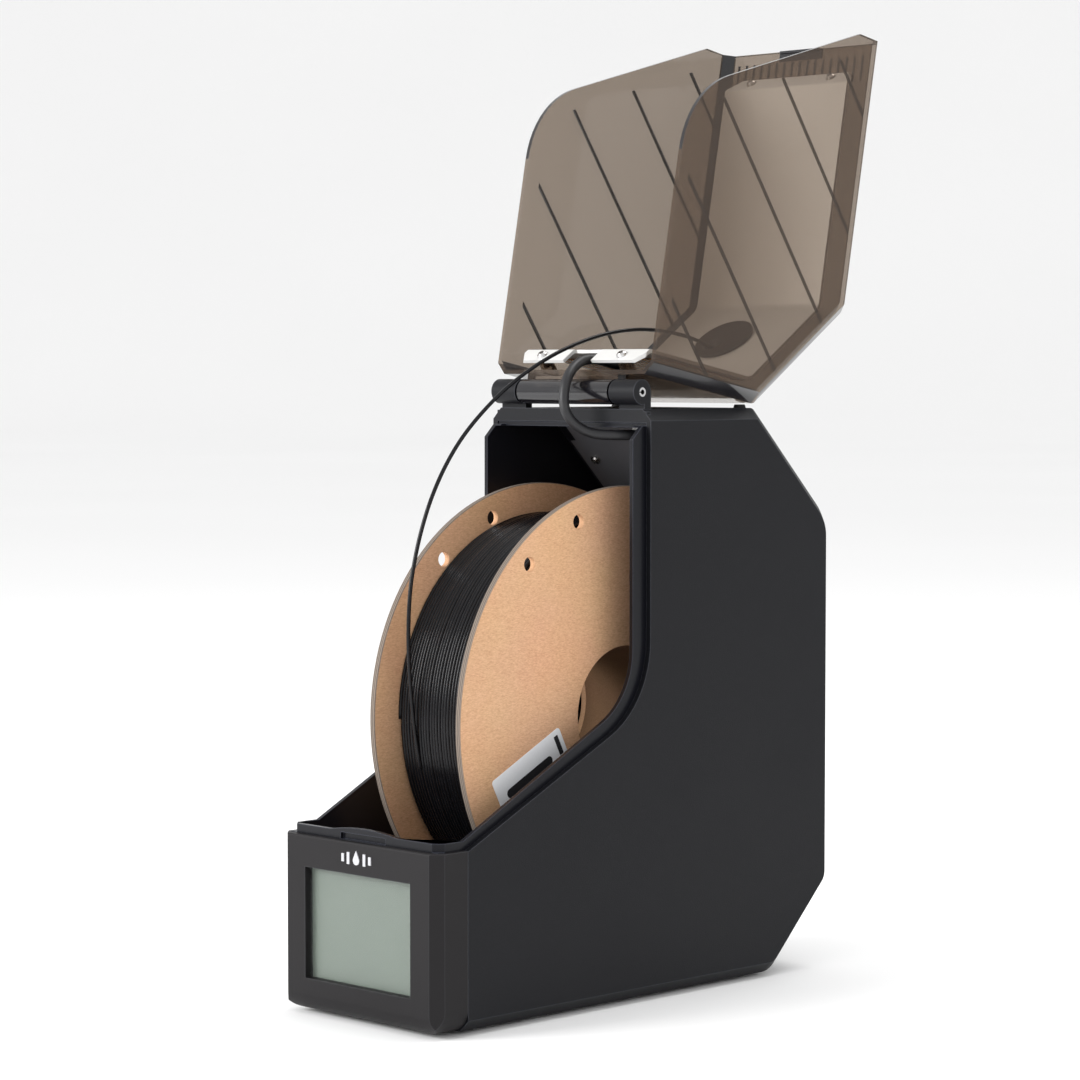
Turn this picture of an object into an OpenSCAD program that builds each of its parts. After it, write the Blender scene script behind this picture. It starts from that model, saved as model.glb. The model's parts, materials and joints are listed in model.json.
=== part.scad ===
// Filament dryer box: a narrow housing with a flip-up smoked lid over one spool,
// bent heater plates in the lid and behind the spool, and a display in the front.
// X runs across the box, -Y is the front and +Z is up. The lid rests wide open.

/* [Housing] */
// Width across the side walls
body_w = 98; // [94:1:106]
// Depth from the front face to the back wall
body_d = 249; // [246:1:256]
// Height of the housing without its feet
body_h = 256; // [254:1:262]
// Thickness of the side, top and back walls
wall_t = 2.7; // [2.4:0.1:3]
// Bevel along every long edge of the box
edge_bevel = 5; // [4:0.5:6]
// How far the rubber feet stand below the housing
foot_h = 1.5; // [1:0.5:3]

/* [Opening] */
// Slope of the opening's lower edge, in degrees
edge_slope = 26; // [24:1:28]
// Height of the front face
front_h = 75.6; // [74:0.2:77]
// Distance from the front face to the edge of the top
edge_y = 126.8; // [126:0.2:128]
// Radius where the opening's two edges meet
edge_r = 44; // [40:1:46]

/* [Lid] */
// Thickness of the smoked lid
lid_t = 1.9; // [1.6:0.1:2.2]
// Gap between the lid and the housing when it is shut
lid_gap = 0.8; // [0.6:0.1:1]
// How far the lid swings from shut to open, in degrees
lid_open = 190.7; // [188:0.1:190.7]
// Radius of the hinge barrel
barrel_r = 5.5; // [5:0.1:5.6]
// Radius of the hinge pin
pin_r = 2; // [1.8:0.1:2.2]

/* [Spool] */
// Outer diameter of the spool's flanges
spool_d = 200; // [196:1:200]
// Width over both flanges
spool_w = 56.4; // [54:0.2:60]
// Diameter of the hub hole
hub_d = 59.4; // [52:0.2:62]
// Diameter of the wound filament
wound_d = 174; // [120:1:180]

/* [Rollers] */
// Radius of a roller
roller_r = 6; // [5.8:0.1:6.2]
// Angle of each roller axle from straight below the spool
roller_angle = 35; // [33:1:36]

/* [Hidden] */
$fn = 96;
sq2 = sqrt(2);
far = 400;

// The box outline: 45 degree walls stand at y + z = rear_sum, y - z = base_diff
// and z - y = lid_diff
rear_sum = 205.4 + body_d;
base_diff = body_d - 38;
lid_diff = body_h - 53.4;
lid_inset = 0.6;
half_w = body_w / 2;
inner_x = half_w - wall_t;
seam_y = 17.8;

// The liner inside the housing
liner_t = 2;
liner_x = inner_x - 0.1;
chamber_x = liner_x - liner_t;
liner_rear_y = body_d - 6.8;
liner_floor_z = 8;
liner_top_z = body_h - 6;
lip_y = edge_y - 8.3;
lip_z = front_h + 3.8;
rim_y = 3.6;
rim_t = 2.2;
brow_r = 130;
rim_corner = 38.8;
plate_sum = 408;
plate_t = 1.5;
film_t = 0.5;
liner_sum = plate_sum + (plate_t + film_t + 0.1 + liner_t) * sq2;
liner_diff = 173;

// The hinge axis
hinge_y = edge_y - 0.4;
hinge_z = body_h + 7.4;
hinge_half = 44.2;
lid_barrel_half = 28;
running_gap = 0.05;

// The spool and its rollers
spool_r = spool_d / 2;
spool_y = 132.9;
spool_z = 122.4;
flange_t = 3;
contact_gap = 0.3;
roller_reach = spool_r + roller_r + contact_gap;
front_axle_y = spool_y - roller_reach * sin(roller_angle);
rear_axle_y = spool_y + roller_reach * sin(roller_angle);
axle_z = spool_z - roller_reach * cos(roller_angle);
axle_r = 2;
roller_len = 20;
roller_x = 29;
bearing_r = 6.5;
bearing_w = 3.8;
rail_t = 4;
rail_x = chamber_x - rail_t / 2;

// The lid heater plate, in the shut position
lid_plate_y = 11.2;
lid_plate_z = 242.8;
lid_plate_diff = 191.4;
lid_plate_w = 75.6;
port_r = 14.5;
neck_r = 11.6;
grommet_r = 4.8;
outlet_x = -3;
outlet_up = 5.5;
port_y = 30.4;
port_z = lid_plate_diff + port_y;

// The open lid's farthest point sets the depth of the whole object
function turned(y, z, a) = [
  hinge_y + (y - hinge_y) * cos(a) - (z - hinge_z) * sin(a),
  hinge_z + (y - hinge_y) * sin(a) + (z - hinge_z) * cos(a)];
lid_back_y = turned(lid_inset, front_h + lid_gap, -lid_open)[0];
mark_proud = 0.4;
mid_y = (lid_back_y - mark_proud) / 2;

black_plastic = "#26272b";
smoked = [0.45, 0.4, 0.36, 0.5];
steel = "#c3c4c6";
board_green = "#1f5f3f";

// ---- Outlines ----

function unit(v) = v / norm(v);

// Points of a corner at b, between a and c, rounded to radius r
function corner(a, b, c, r) =
  r <= 0 ? [b] :
  let (u = unit(a - b), v = unit(c - b), half = acos(u * v) / 2,
       centre = b + unit(u + v) * r / sin(half),
       s = b + u * r / tan(half) - centre, e = b + v * r / tan(half) - centre,
       a0 = atan2(s[1], s[0]), turn0 = atan2(e[1], e[0]) - a0,
       turn = turn0 > 180 ? turn0 - 360 : turn0 < -180 ? turn0 + 360 : turn0,
       n = max(3, ceil(abs(turn) / (r > 10 ? 6 : 11))))
  [for (i = [0:n]) centre + r * [cos(a0 + turn * i / n), sin(a0 + turn * i / n)]];

// A closed outline from corners given as [y, z, radius]
function rounded(p) = [for (i = [0:len(p) - 1])
  let (n = len(p), a = p[(i + n - 1) % n], b = p[i], c = p[(i + 1) % n])
  each corner([a[0], a[1]], [b[0], b[1]], [c[0], c[1]], b[2])];

// The whole box seen from its side, moved inwards by i
function box_outline(i) =
  let (f = i, b = i, r = body_d - i, t = body_h - i,
       bd = base_diff - i * sq2, rs = rear_sum - i * sq2, ld = lid_diff - i * sq2)
  [[f, b, 8], [bd + b, b, 12], [r, r - bd, 12], [r, rs - r, 20],
   [rs - t, t, 4], [t - ld, t, 4], [f, f + ld, 6]];

// The space in front of and above the opening's edge, shrunk by g
function opening_outline(g) =
  let (c = cos(edge_slope), s = sin(edge_slope), y0 = seam_y + 0.6,
       ya = y0 - g * (1 - c) / s, yb = edge_y - g,
       zb = front_h + ((yb - y0) * s + g) / c)
  [[-30, front_h + g, 0], [ya, front_h + g, 0], [yb, zb, edge_r - g],
   [yb, far, 0], [-30, far, 0]];

// ---- Solids made from a side outline ----

// Extrudes a side outline (Y, Z) across the box
module across(w, x = 0) {
  translate([x, 0, 0]) rotate([90, 0, 90]) linear_extrude(w, center = true) children();
}

// The box outline as a solid with bevelled long edges
module bevelled_box(w, i, bevel) {
  hull() {
    across(w - 2 * bevel) polygon(rounded(box_outline(i)));
    across(w) offset(delta = -bevel) polygon(rounded(box_outline(i)));
  }
}

module rod(r, x0, x1) {
  translate([x0, 0, 0]) rotate([0, 90, 0]) cylinder(h = x1 - x0, r = r);
}

module block(lo, hi) {
  translate(lo) cube(hi - lo);
}

// Puts a piece drawn with its front at y = 0 into the object's frame
module placed() {
  translate([0, -mid_y, foot_h]) children();
}

// Puts a piece of the lid, drawn shut, into its open place
module opened() {
  placed() translate([0, hinge_y, hinge_z]) rotate([-lid_open, 0, 0])
    translate([0, -hinge_y, -hinge_z]) children();
}

// A pan head screw pointing down -Z, with the underside of its head at z = 0
module screw(head_r, shank_r, length) {
  difference() {
    union() {
      cylinder(h = 0.9, r1 = head_r, r2 = head_r * 0.9);
      translate([0, 0, 0.9]) cylinder(h = 0.7, r1 = head_r * 0.9, r2 = head_r * 0.55);
      translate([0, 0, -length]) cylinder(h = length, r = shank_r);
    }
    for (a = [0, 90]) rotate([0, 0, a])
      translate([-head_r * 0.5, -0.3, 0.7]) cube([head_r, 0.6, 2]);
  }
}

// ---- Housing and its fixed pieces ----

cover_x = 34;
cover_y0 = 44;
cover_y1 = 176;
jack_x = -24;
jack_z = 54;
jack_r = 4.2;
inner_bevel = edge_bevel - 2.2;
panel_inset = wall_t + inner_bevel;

// Walls, side panels and hinge knuckles in one, in the housing's own frame
module housing_form() {
  difference() {
    union() {
      difference() {
        bevelled_box(body_w, 0, edge_bevel);
        bevelled_box(body_w - 2 * wall_t, wall_t, inner_bevel);
        // Everything in front of the opening's edge
        across(body_w + 2) polygon(concat(
          [[-30, far], [-30, -10], [seam_y, -10], [seam_y, front_h]],
          [for (p = rounded(opening_outline(0))) if (p[0] > seam_y && p[1] < far) p],
          [[edge_y, far]]));
      }
      // Front lip of the top, above the chamber
      block([-inner_x, edge_y, liner_top_z + 0.1], [inner_x, edge_y + wall_t, body_h - 1]);
      // Hinge knuckles, one each side of the lid's barrel
      for (x = [[lid_barrel_half + 1.2, hinge_half], [-hinge_half, -lid_barrel_half - 1.2]]) {
        translate([0, hinge_y, hinge_z]) rod(barrel_r, x[0], x[1]);
        block([x[0], hinge_y + 1.4, body_h - 1], [x[1], hinge_y + barrel_r, hinge_z]);
      }
    }
    // Bore for the hinge pin
    translate([0, hinge_y, hinge_z]) rod(pin_r, -far, far);
    // Service opening in the floor
    block([-cover_x, cover_y0, -1], [cover_x, cover_y1, wall_t + 1]);
    // Hole for the power jack
    translate([jack_x, body_d - 10, jack_z]) rotate([-90, 0, 0]) cylinder(h = 20, r = jack_r + 0.1);
    // Seats for the lid's stop pads
    for (s = [-1, 1]) translate([s * 38, stop_y, body_h - 0.6]) cylinder(h = 2, r = 3.1);
  }
}

// The flat part of a side wall, inside its bevels, with its outer face out by more
module panel_form(s, more = 0) {
  across(wall_t + more, s * (half_w - wall_t / 2 + more / 2))
    offset(delta = -panel_inset) polygon(rounded(box_outline(0)));
}

// Floor, back, top and the bevels, with the hinge knuckles
module housing() {
  color(black_plastic) placed() difference() {
    housing_form();
    for (s = [-1, 1]) panel_form(s, 1);
  }
}

// Side panels, welded into the housing flush with its bevels
module side_panel(s) {
  color(black_plastic) placed() intersection() {
    housing_form();
    panel_form(s);
  }
}
module side_panel_left() { side_panel(-1); }
module side_panel_right() { side_panel(1); }

module base_cover() {
  lip = 3;
  color(black_plastic) placed() difference() {
    union() {
      block([-cover_x + 0.2, cover_y0 + 0.2, 0.5], [cover_x - 0.2, cover_y1 - 0.2, wall_t + 0.2]);
      block([-cover_x - lip, cover_y0 - lip, wall_t + 0.1],
            [cover_x + lip, cover_y1 + lip, wall_t + 1.9]);
    }
    // Intake slots
    for (i = [-4:4]) block([-22, 110 + i * 6 - 1.2, 0], [22, 110 + i * 6 + 1.2, 6]);
    at_cover_screws() translate([0, 0, -3]) cylinder(h = 10, r = 1.55);
    at_cover_screws() translate([0, 0, -3]) cylinder(h = 3, r = 3);
  }
}

// Runs its children at the seats of the cover's screws, with +Z going into the box
module at_cover_screws() {
  for (x = [-28, 28], y = [cover_y0 + 8, cover_y1 - 8]) translate([x, y, 1.75]) children();
}

module base_screws() {
  color(steel) placed() at_cover_screws() mirror([0, 0, 1]) screw(2.6, 1.5, 4);
}

module rubber_feet() {
  color("#1a1a1a") placed()
    for (x = [-34, 34], y = [28, 196]) translate([x, y, -foot_h])
      cylinder(h = foot_h, r1 = 5.6, r2 = 6.5);
}

// ---- Liner: the drying chamber inside the housing ----

module inner_liner() {
  inner_sum = plate_sum + (plate_t + film_t + 0.1) * sq2;
  in_y = liner_rear_y - liner_t;
  in_diff = liner_diff - liner_t * sq2;
  in_z = liner_floor_z + liner_t;
  rise = tan(edge_slope + 1.4);
  lip_corner_z = lip_z + (lip_y - seam_y) * rise;
  color("#2b2c30") placed() difference() {
    union() {
      across(2 * liner_x) polygon(rounded([
        [seam_y - 1, liner_floor_z, 8],
        [liner_diff + liner_floor_z, liner_floor_z, 6],
        [liner_rear_y, liner_rear_y - liner_diff, 6],
        [liner_rear_y, liner_sum - liner_rear_y, 8],
        [liner_sum - liner_top_z, liner_top_z, 0],
        [lip_y + 7, liner_top_z, 0], [lip_y, liner_top_z - 7, 0],
        [lip_y, lip_corner_z, 34],
        [seam_y, lip_z, 0], [rim_y, lip_z, 0], [rim_y, 72, 0], [seam_y - 1, 72, 0]]));
      // Curved brow over the catch's slot
      intersection() {
        block([-24, rim_y, front_h + 1], [24, rim_y + rim_t, lip_z + 4]);
        translate([0, 0, lip_z + 1.7 - brow_r]) rotate([-90, 0, 0])
          cylinder(h = 20, r = brow_r, $fn = 360);
      }
    }
    // The chamber itself
    across(2 * chamber_x) polygon(rounded([
      [seam_y + 1, in_z, 6], [in_diff + in_z, in_z, 5], [in_y, in_y - in_diff, 5],
      [in_y, inner_sum - in_y, 7], [inner_sum - liner_top_z + liner_t, liner_top_z - liner_t, 0],
      [lip_y - 2, liner_top_z - liner_t, 0], [lip_y - 2, far, 0], [seam_y + 1, far, 0]]));
    // Cut corners of the front rim, inside the lid's bevels
    for (s = [-1, 1]) translate([s * (rim_corner + 20), 0, front_h + 10.2])
      rotate([0, 0, 45]) cube([20 * sq2, 20 * sq2, 20], center = true);
    // Space above the front shelf, behind its rim
    block([-chamber_x, rim_y + rim_t, 74], [chamber_x, seam_y + 2, far]);
    // Room for the heater plate's rear tabs when the lid is shut
    block([-41, 100, 246], [41, edge_y + 0.6, far]);
    // Room for the bevels of the shut lid's top
    block([-half_w, lip_y - 1, liner_top_z - 1.3], [half_w, edge_y + 0.6, far]);
    // Slot of the catch
    block([-14, 0, front_h + 0.2], [14, 5, front_h + 3]);
    // Window of the humidity sensor
    block([22, seam_y - 3, 52], [34, seam_y + 3, 64]);
    // Hole for the heater cable, under the top
    translate([30, 150, liner_top_z - 5]) cylinder(h = 10, r = 3);
  }
}

module body_heater_plate() {
  s = plate_sum;
  o = plate_sum + plate_t * sq2;
  y0 = liner_rear_y - liner_t - film_t - 0.1 - plate_t;
  y1 = y0 + plate_t;
  color("#c9c9c6") placed() difference() {
    across(80) polygon(rounded([
      [s - 247.6, 247.6, 0], [y0, s - y0, 5], [y0, 84, 0],
      [y1, 84, 0], [y1, o - y1, 6.5], [o - 247.6, 247.6, 0]]));
    // Stepped corner beside the top
    block([-60, 100, 240.5], [-36.5, 200, far]);
    for (p = plate_screw_points()) translate(p) rotate([p[2] > 150 ? 135 : 90, 0, 0])
      cylinder(h = 12, r = 1.6, center = true);
  }
}

function plate_screw_points() = [for (x = [-32, 32]) each [
  [x, plate_sum - 232, 232],
  [x, liner_rear_y - liner_t - film_t - 0.1 - plate_t, 94]]];

module body_plate_screws() {
  color(steel) placed() for (p = plate_screw_points())
    translate(p) rotate([p[2] > 150 ? 135 : 90, 0, 0]) screw(2.6, 1.5, 2);
}

module body_heater_film() {
  s = plate_sum + (plate_t + 0.05) * sq2;
  o = plate_sum + (plate_t + film_t) * sq2;
  y0 = liner_rear_y - liner_t - film_t - 0.05;
  y1 = liner_rear_y - liner_t - 0.1;
  color("#c8862a") placed() difference() {
    across(74) polygon(rounded([
      [s - 245, 245, 0], [y0, s - y0, 6.6], [y0, 90, 0],
      [y1, 90, 0], [y1, o - y1, 7], [o - 245, 245, 0]]));
    block([-60, 100, 238], [-34, 200, far]);
    for (p = plate_screw_points()) translate(p) rotate([p[2] > 150 ? 135 : 90, 0, 0])
      cylinder(h = 12, r = 3, center = true);
  }
}

module humidity_sensor() {
  color("#e4e4e0") placed() difference() {
    block([22.2, seam_y - 5, 52.2], [33.8, seam_y + 1.6, 63.8]);
    for (i = [-2:2]) block([24.5, seam_y, 58 + i * 2.1 - 0.5], [31.5, seam_y + 2, 58 + i * 2.1 + 0.5]);
  }
}

module cable_clip() {
  color("#d9d9d4") placed() difference() {
    block([24, 141.4, liner_top_z - liner_t - 6.6], [36, 148, liner_top_z - liner_t - 0.05]);
    translate([30, 144.6, liner_top_z - liner_t - 3.4]) rotate([90, 0, 0])
      cylinder(h = 20, r = cable_r + 0.12);
  }
}

// ---- Front ----

window_x = 33;
window_z0 = 14.6;
window_z1 = 62.2;
fascia_t = 2.4;
display_y = 3;

// The front's solid shape, moved inwards by i on every outer side
module front_form(i, back) {
  w = half_w - i;
  c = 4.6 - i * 0.4;
  intersection() {
    across(body_w) polygon(rounded([
      [i, i, 8 - i], [back, i, 0], [back, front_h - i, 0], [i, front_h - i, i > 0 ? 0 : 0.8]]));
    linear_extrude(far) polygon([[-w + c, 0], [w - c, 0], [w, c], [w, 60], [-w, 60], [-w, c]]);
    translate([0, 60, 0]) rotate([90, 0, 0]) linear_extrude(80) polygon(rounded([
      [-w, i, 10 - i], [w, i, 10 - i], [w, far, 0], [-w, far, 0]]));
  }
}

module front_fascia() {
  color("#34343a") placed() difference() {
    union() {
      difference() {
        front_form(0, seam_y - 0.2);
        // Hollow behind the face, open at the back
        difference() {
          front_form(fascia_t, 40);
          block([-far, -1, front_h - 4.6], [far, seam_y - 1.2, far]);
        }
      }
      // Collar round the display's window
      block([-window_x - 1.6, fascia_t - 0.1, window_z0 - 1.6],
            [window_x + 1.6, display_y + 1.2, window_z1 + 1.6]);
    }
    // Room for the liner's front rim
    block([-liner_x - 0.1, 3.5, 71.9], [liner_x + 0.1, 40, far]);
    // Display window
    block([-window_x, -1, window_z0], [window_x, 10, window_z1]);
    // Recess of the mark
    translate([0, 0.5, 68.3]) rotate([90, 0, 0]) linear_extrude(2) offset(delta = 0.06) mark_outline();
  }
}

// A drop between two pairs of bars
module mark_outline() {
  circle(r = 1.9, $fn = 48);
  polygon([[-1.75, 0.72], [0, 4.1], [1.75, 0.72]]);
  for (s = [-1, 1], i = [0, 1])
    translate([s * (5 + i * 3.4), 0.6]) square([1.5, i == 0 ? 5 : 3.4], center = true);
}

module fascia_mark() {
  color("#b9babd") placed() translate([0, 0.45, 68.3]) rotate([90, 0, 0])
    linear_extrude(0.45 + mark_proud) mark_outline();
}

module display_lens() {
  m = 0.15;
  color("#8f9c92") placed()
    block([-window_x + m, display_y, window_z0 + m], [window_x - m, display_y + 1.2, window_z1 - m]);
}

module display_panel() {
  color("#6f7a72") placed() union() {
    block([-35, display_y + 1.25, 13.4], [35, display_y + 5, 64.4]);
    block([-30, display_y + 4, 17], [30, display_y + 6, 61]);
  }
}

module control_board() {
  y0 = display_y + 6.6;
  color(board_green) placed() union() {
    block([-40, y0, 12], [20, y0 + 1.6, 68]);
    block([-30, y0 + 1, 24], [-18, y0 + 3.2, 36]);
    block([-8, y0 + 1, 40], [4, y0 + 3, 47]);
    block([8, y0 + 1, 18], [17, y0 + 4.6, 26]);
    for (i = [0:3]) translate([-34 + i * 9, y0, 56]) rotate([-90, 0, 0]) cylinder(h = 4.6, r = 2.4);
    // Spacers up to the display
    for (x = [-27, 10], z = [22, 58])
      translate([x, display_y + 6.02, z]) rotate([-90, 0, 0]) cylinder(h = 1, r = 2);
  }
}

// ---- Power ----

module power_board() {
  color(board_green) placed() translate([0, 217, 26.8]) rotate([45, 0, 0]) union() {
    block([-38, -16, 0], [30, 16, 1.6]);
    block([-30, -12, 1], [-12, 4, 9]);
    translate([4, -2, 1]) cylinder(h = 10, r = 5);
    translate([18, -2, 1]) cylinder(h = 10, r = 5);
    block([-6, 6, 1], [26, 12, 5]);
  }
}

module dc_inlet() {
  y1 = body_d + 0.4;
  color("#17171a") placed() difference() {
    union() {
      translate([jack_x, y1 - 14.4, jack_z]) rotate([-90, 0, 0]) cylinder(h = 14.4, r = jack_r);
      block([jack_x - 7, y1 - 14.4, jack_z - 6], [jack_x + 7, body_d - wall_t - 0.1, jack_z + 6]);
    }
    translate([jack_x, y1 - 10, jack_z]) rotate([-90, 0, 0]) cylinder(h = 20, r = 2.75);
  }
}

stop_y = 196.5;
stop_h = 1.5;

module lid_stop_pads() {
  color("#1d1d20") placed() for (s = [-1, 1])
    translate([s * 38, stop_y, body_h - 0.58]) cylinder(h = 0.58 + stop_h, r1 = 3, r2 = 2.4);
}

module hinge_pin() {
  color(steel) placed() translate([0, hinge_y, hinge_z]) difference() {
    rod(pin_r, -hinge_half - 0.2, hinge_half + 0.2);
    rod(1.1, -far, far);
    // Slot of the rolled pin
    block([-far, -4, -0.25], [far, 0, 0.25]);
  }
}

// ---- Rollers ----

module roller_rail(s) {
  color("#303136") placed() difference() {
    union() {
      across(rail_t, s * rail_x) polygon(rounded([
        [front_axle_y - 12, liner_floor_z + liner_t + 0.05, 2],
        [front_axle_y - 10, axle_z + 9, 5], [front_axle_y + 10, axle_z + 9, 5],
        [front_axle_y + 20, liner_floor_z + 12, 10], [rear_axle_y - 24, liner_floor_z + 12, 10],
        [rear_axle_y - 12, axle_z + 9, 5], [rear_axle_y + 9, axle_z + 9, 5],
        [rear_axle_y + 9, axle_z - 2, 3], [176, liner_floor_z + liner_t + 0.05, 0]]));
      // Foot screwed to the floor
      for (y = [100, 160]) block([s > 0 ? rail_x - 12 : -rail_x, y - 7, liner_floor_z + liner_t + 0.05],
        [s > 0 ? rail_x : 12 - rail_x, y + 7, liner_floor_z + liner_t + 2.4]);
    }
    for (y = [front_axle_y, rear_axle_y]) translate([0, y, axle_z]) rod(bearing_r + 0.01, -far, far);
    for (y = [100, 160]) translate([s * (rail_x - 7), y, 0]) cylinder(h = 30, r = 1.6);
  }
}
module roller_rail_left() { roller_rail(-1); }
module roller_rail_right() { roller_rail(1); }

module rail_screws() {
  color(steel) placed() for (s = [-1, 1], y = [100, 160])
    translate([s * (rail_x - 7), y, liner_floor_z + liner_t + 2.45]) screw(2.8, 1.5, 2.3);
}

// A ball bearing, drawn as its two rings and the shield between them
module bearing(s, y) {
  color(steel) placed() translate([s * rail_x, y, axle_z]) difference() {
    rod(bearing_r, -bearing_w / 2, bearing_w / 2);
    rod(axle_r + running_gap, -far, far);
    for (e = [-1, 1]) translate([e * bearing_w / 2, 0, 0]) difference() {
      rod(bearing_r - 1.2, -0.35, 0.35);
      rod(axle_r + 1.1, -1, 1);
    }
  }
}
module bearing_front_left() { bearing(-1, front_axle_y); }
module bearing_front_right() { bearing(1, front_axle_y); }
module bearing_rear_left() { bearing(-1, rear_axle_y); }
module bearing_rear_right() { bearing(1, rear_axle_y); }

module axle(y) {
  color(steel) placed() translate([0, y, axle_z]) rod(axle_r, -chamber_x + 0.4, chamber_x - 0.4);
}
module front_axle() { axle(front_axle_y); }
module rear_axle() { axle(rear_axle_y); }

// A roller with a shallow groove at each end
module roller(s, y) {
  h = roller_len / 2;
  color("#3a3b40") placed() translate([s * roller_x, y, axle_z]) rotate([0, 90, 0]) rotate_extrude()
    polygon([[axle_r, -h], [roller_r - 0.8, -h], [roller_r, -h + 0.8], [roller_r, -h + 2.4],
      [roller_r - 0.6, -h + 3], [roller_r - 0.6, -h + 3.6], [roller_r, -h + 4.2],
      [roller_r, h - 4.2], [roller_r - 0.6, h - 3.6], [roller_r - 0.6, h - 3], [roller_r, h - 2.4],
      [roller_r, h - 0.8], [roller_r - 0.8, h], [axle_r, h]]);
}
module roller_front_left() { roller(-1, front_axle_y); }
module roller_front_right() { roller(1, front_axle_y); }
module roller_rear_left() { roller(-1, rear_axle_y); }
module roller_rear_right() { roller(1, rear_axle_y); }

// ---- Spool ----

hole_r = 3.2;
hole_reach = 90;
core_t = 3;

module at_spool(x) {
  placed() translate([x, spool_y, spool_z]) children();
}

module spool_flange(s) {
  x = s * (spool_w - flange_t) / 2;
  color("#c0996c") at_spool(x) difference() {
    rod(spool_r, -flange_t / 2, flange_t / 2);
    rod(hub_d / 2, -far, far);
    for (a = [109, 131, 289, 311])
      translate([0, hole_reach * cos(a), hole_reach * sin(a)]) rod(hole_r, -far, far);
  }
}
module spool_flange_left() { spool_flange(-1); }
module spool_flange_right() { spool_flange(1); }

module spool_core() {
  half = spool_w / 2 - flange_t;
  color("#b98f60") at_spool(0) difference() {
    rod(hub_d / 2 + core_t, -half, half);
    rod(hub_d / 2, -far, far);
  }
}

module filament_winding() {
  half = spool_w / 2 - flange_t;
  color("#131417") at_spool(0) difference() {
    rod(wound_d / 2, -half + 0.2, half - 0.2);
    rod(hub_d / 2 + core_t, -far, far);
  }
}

module spool_label() {
  color("#efefec") at_spool(spool_w / 2) translate([0, -58.7, -19.3]) rotate([27, 0, 0])
    block([0.02, -22.5, -7], [0.22, 22.5, 7]);
}

// ---- Lid ----

flange_len = 8.6;
flange_out = flange_len / sq2;
lid_wall_y = lid_inset + lid_t;
rear_flange_y = 118.5;
front_flange_z = 96;
flange_screw_x = 24.6;

// A bent sheet along the front, slope and top of the lid, both ends turned outwards
module lid_sheet(w, inner, thick, ends) {
  o = inner + thick;
  d0 = lid_plate_diff + inner * sq2;
  d1 = lid_plate_diff + o * sq2;
  k = inner * (sq2 - 1);
  m = o * (sq2 - 1);
  y0 = lid_plate_y - inner;
  y1 = lid_plate_y - o;
  z0 = lid_plate_z + inner;
  z1 = lid_plate_z + o;
  e = ends;
  across(w) polygon(rounded([
    [y0 - e, front_flange_z + k - e, 0], [y0, front_flange_z + k, 1.6],
    [y0, y0 + d0, 6], [z0 - d0, z0, 6],
    [rear_flange_y - k, z0, 1.6], [rear_flange_y - k + e, z0 + e, 0],
    [rear_flange_y - k + e - thick / sq2, z0 + e + thick / sq2, 0],
    [rear_flange_y - m, z1, 3], [z1 - d1, z1, 7], [y1, y1 + d1, 7],
    [y1, front_flange_z + m, 3], [y0 - e - thick / sq2, front_flange_z + k - e + thick / sq2, 0]]));
}

// Runs its children at the four flange screws, with +Z out of the screw's head
module at_flange_screws() {
  mid = flange_out * 0.56;
  for (x = [-flange_screw_x, flange_screw_x]) {
    translate([x, lid_plate_y - mid, front_flange_z - mid]) rotate([225, 0, 0]) children();
    translate([x, rear_flange_y + mid, lid_plate_z + mid]) rotate([225, 0, 0]) children();
  }
}

module lid_heater_plate() {
  color("#dcdcda") opened() difference() {
    lid_sheet(lid_plate_w, 0, plate_t, flange_out);
    // Clipped corners of the front flange
    for (s = [-1, 1]) translate([s * lid_plate_w / 2, 0, front_flange_z - flange_out - 1])
      rotate([0, 45, 0]) cube([9, 40, 9], center = true);
    // Gap between the two rear tabs, and their slanted outer ends
    translate([0, rear_flange_y - 1.4, 0]) block([-8.6, 0, 200], [8.6, 40, far]);
    for (s = [-1, 1]) translate([s * lid_plate_w / 2, rear_flange_y + flange_out + 2.2, 0])
      rotate([0, 0, 45]) cube([9, 9, far * 2], center = true);
    at_flange_screws() cylinder(h = 12, r = 1.6, center = true);
    at_port() cylinder(h = 30, r = neck_r + 0.3, center = true);
  }
}

module lid_heater_film() {
  i = plate_t + 0.05;
  o = plate_t + film_t;
  y0 = lid_plate_y - i;
  y1 = lid_plate_y - o;
  z0 = lid_plate_z + i;
  z1 = lid_plate_z + o;
  d0 = lid_plate_diff + i * sq2;
  d1 = lid_plate_diff + o * sq2;
  color("#c8862a") opened() difference() {
    across(66) polygon(rounded([
      [y0, 104, 0], [y0, y0 + d0, 7.4], [z0 - d0, z0, 7.4], [104, z0, 0],
      [104, z1, 0], [z1 - d1, z1, 7.7], [y1, y1 + d1, 7.7], [y1, 104, 0]]));
    at_port() cylinder(h = 30, r = port_r + 2, center = true);
  }
}

module lid_plate_screws() {
  color(steel) opened() at_flange_screws() translate([0, 0, 0.02]) screw(2.5, 1.5, 6);
}

// Runs its children on the slope, with +Z out through the lid
module at_port() {
  translate([0, port_y, port_z]) rotate([45, 0, 0]) children();
}

slope_out = (lid_diff - lid_inset * sq2 - lid_plate_diff) / sq2;

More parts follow.
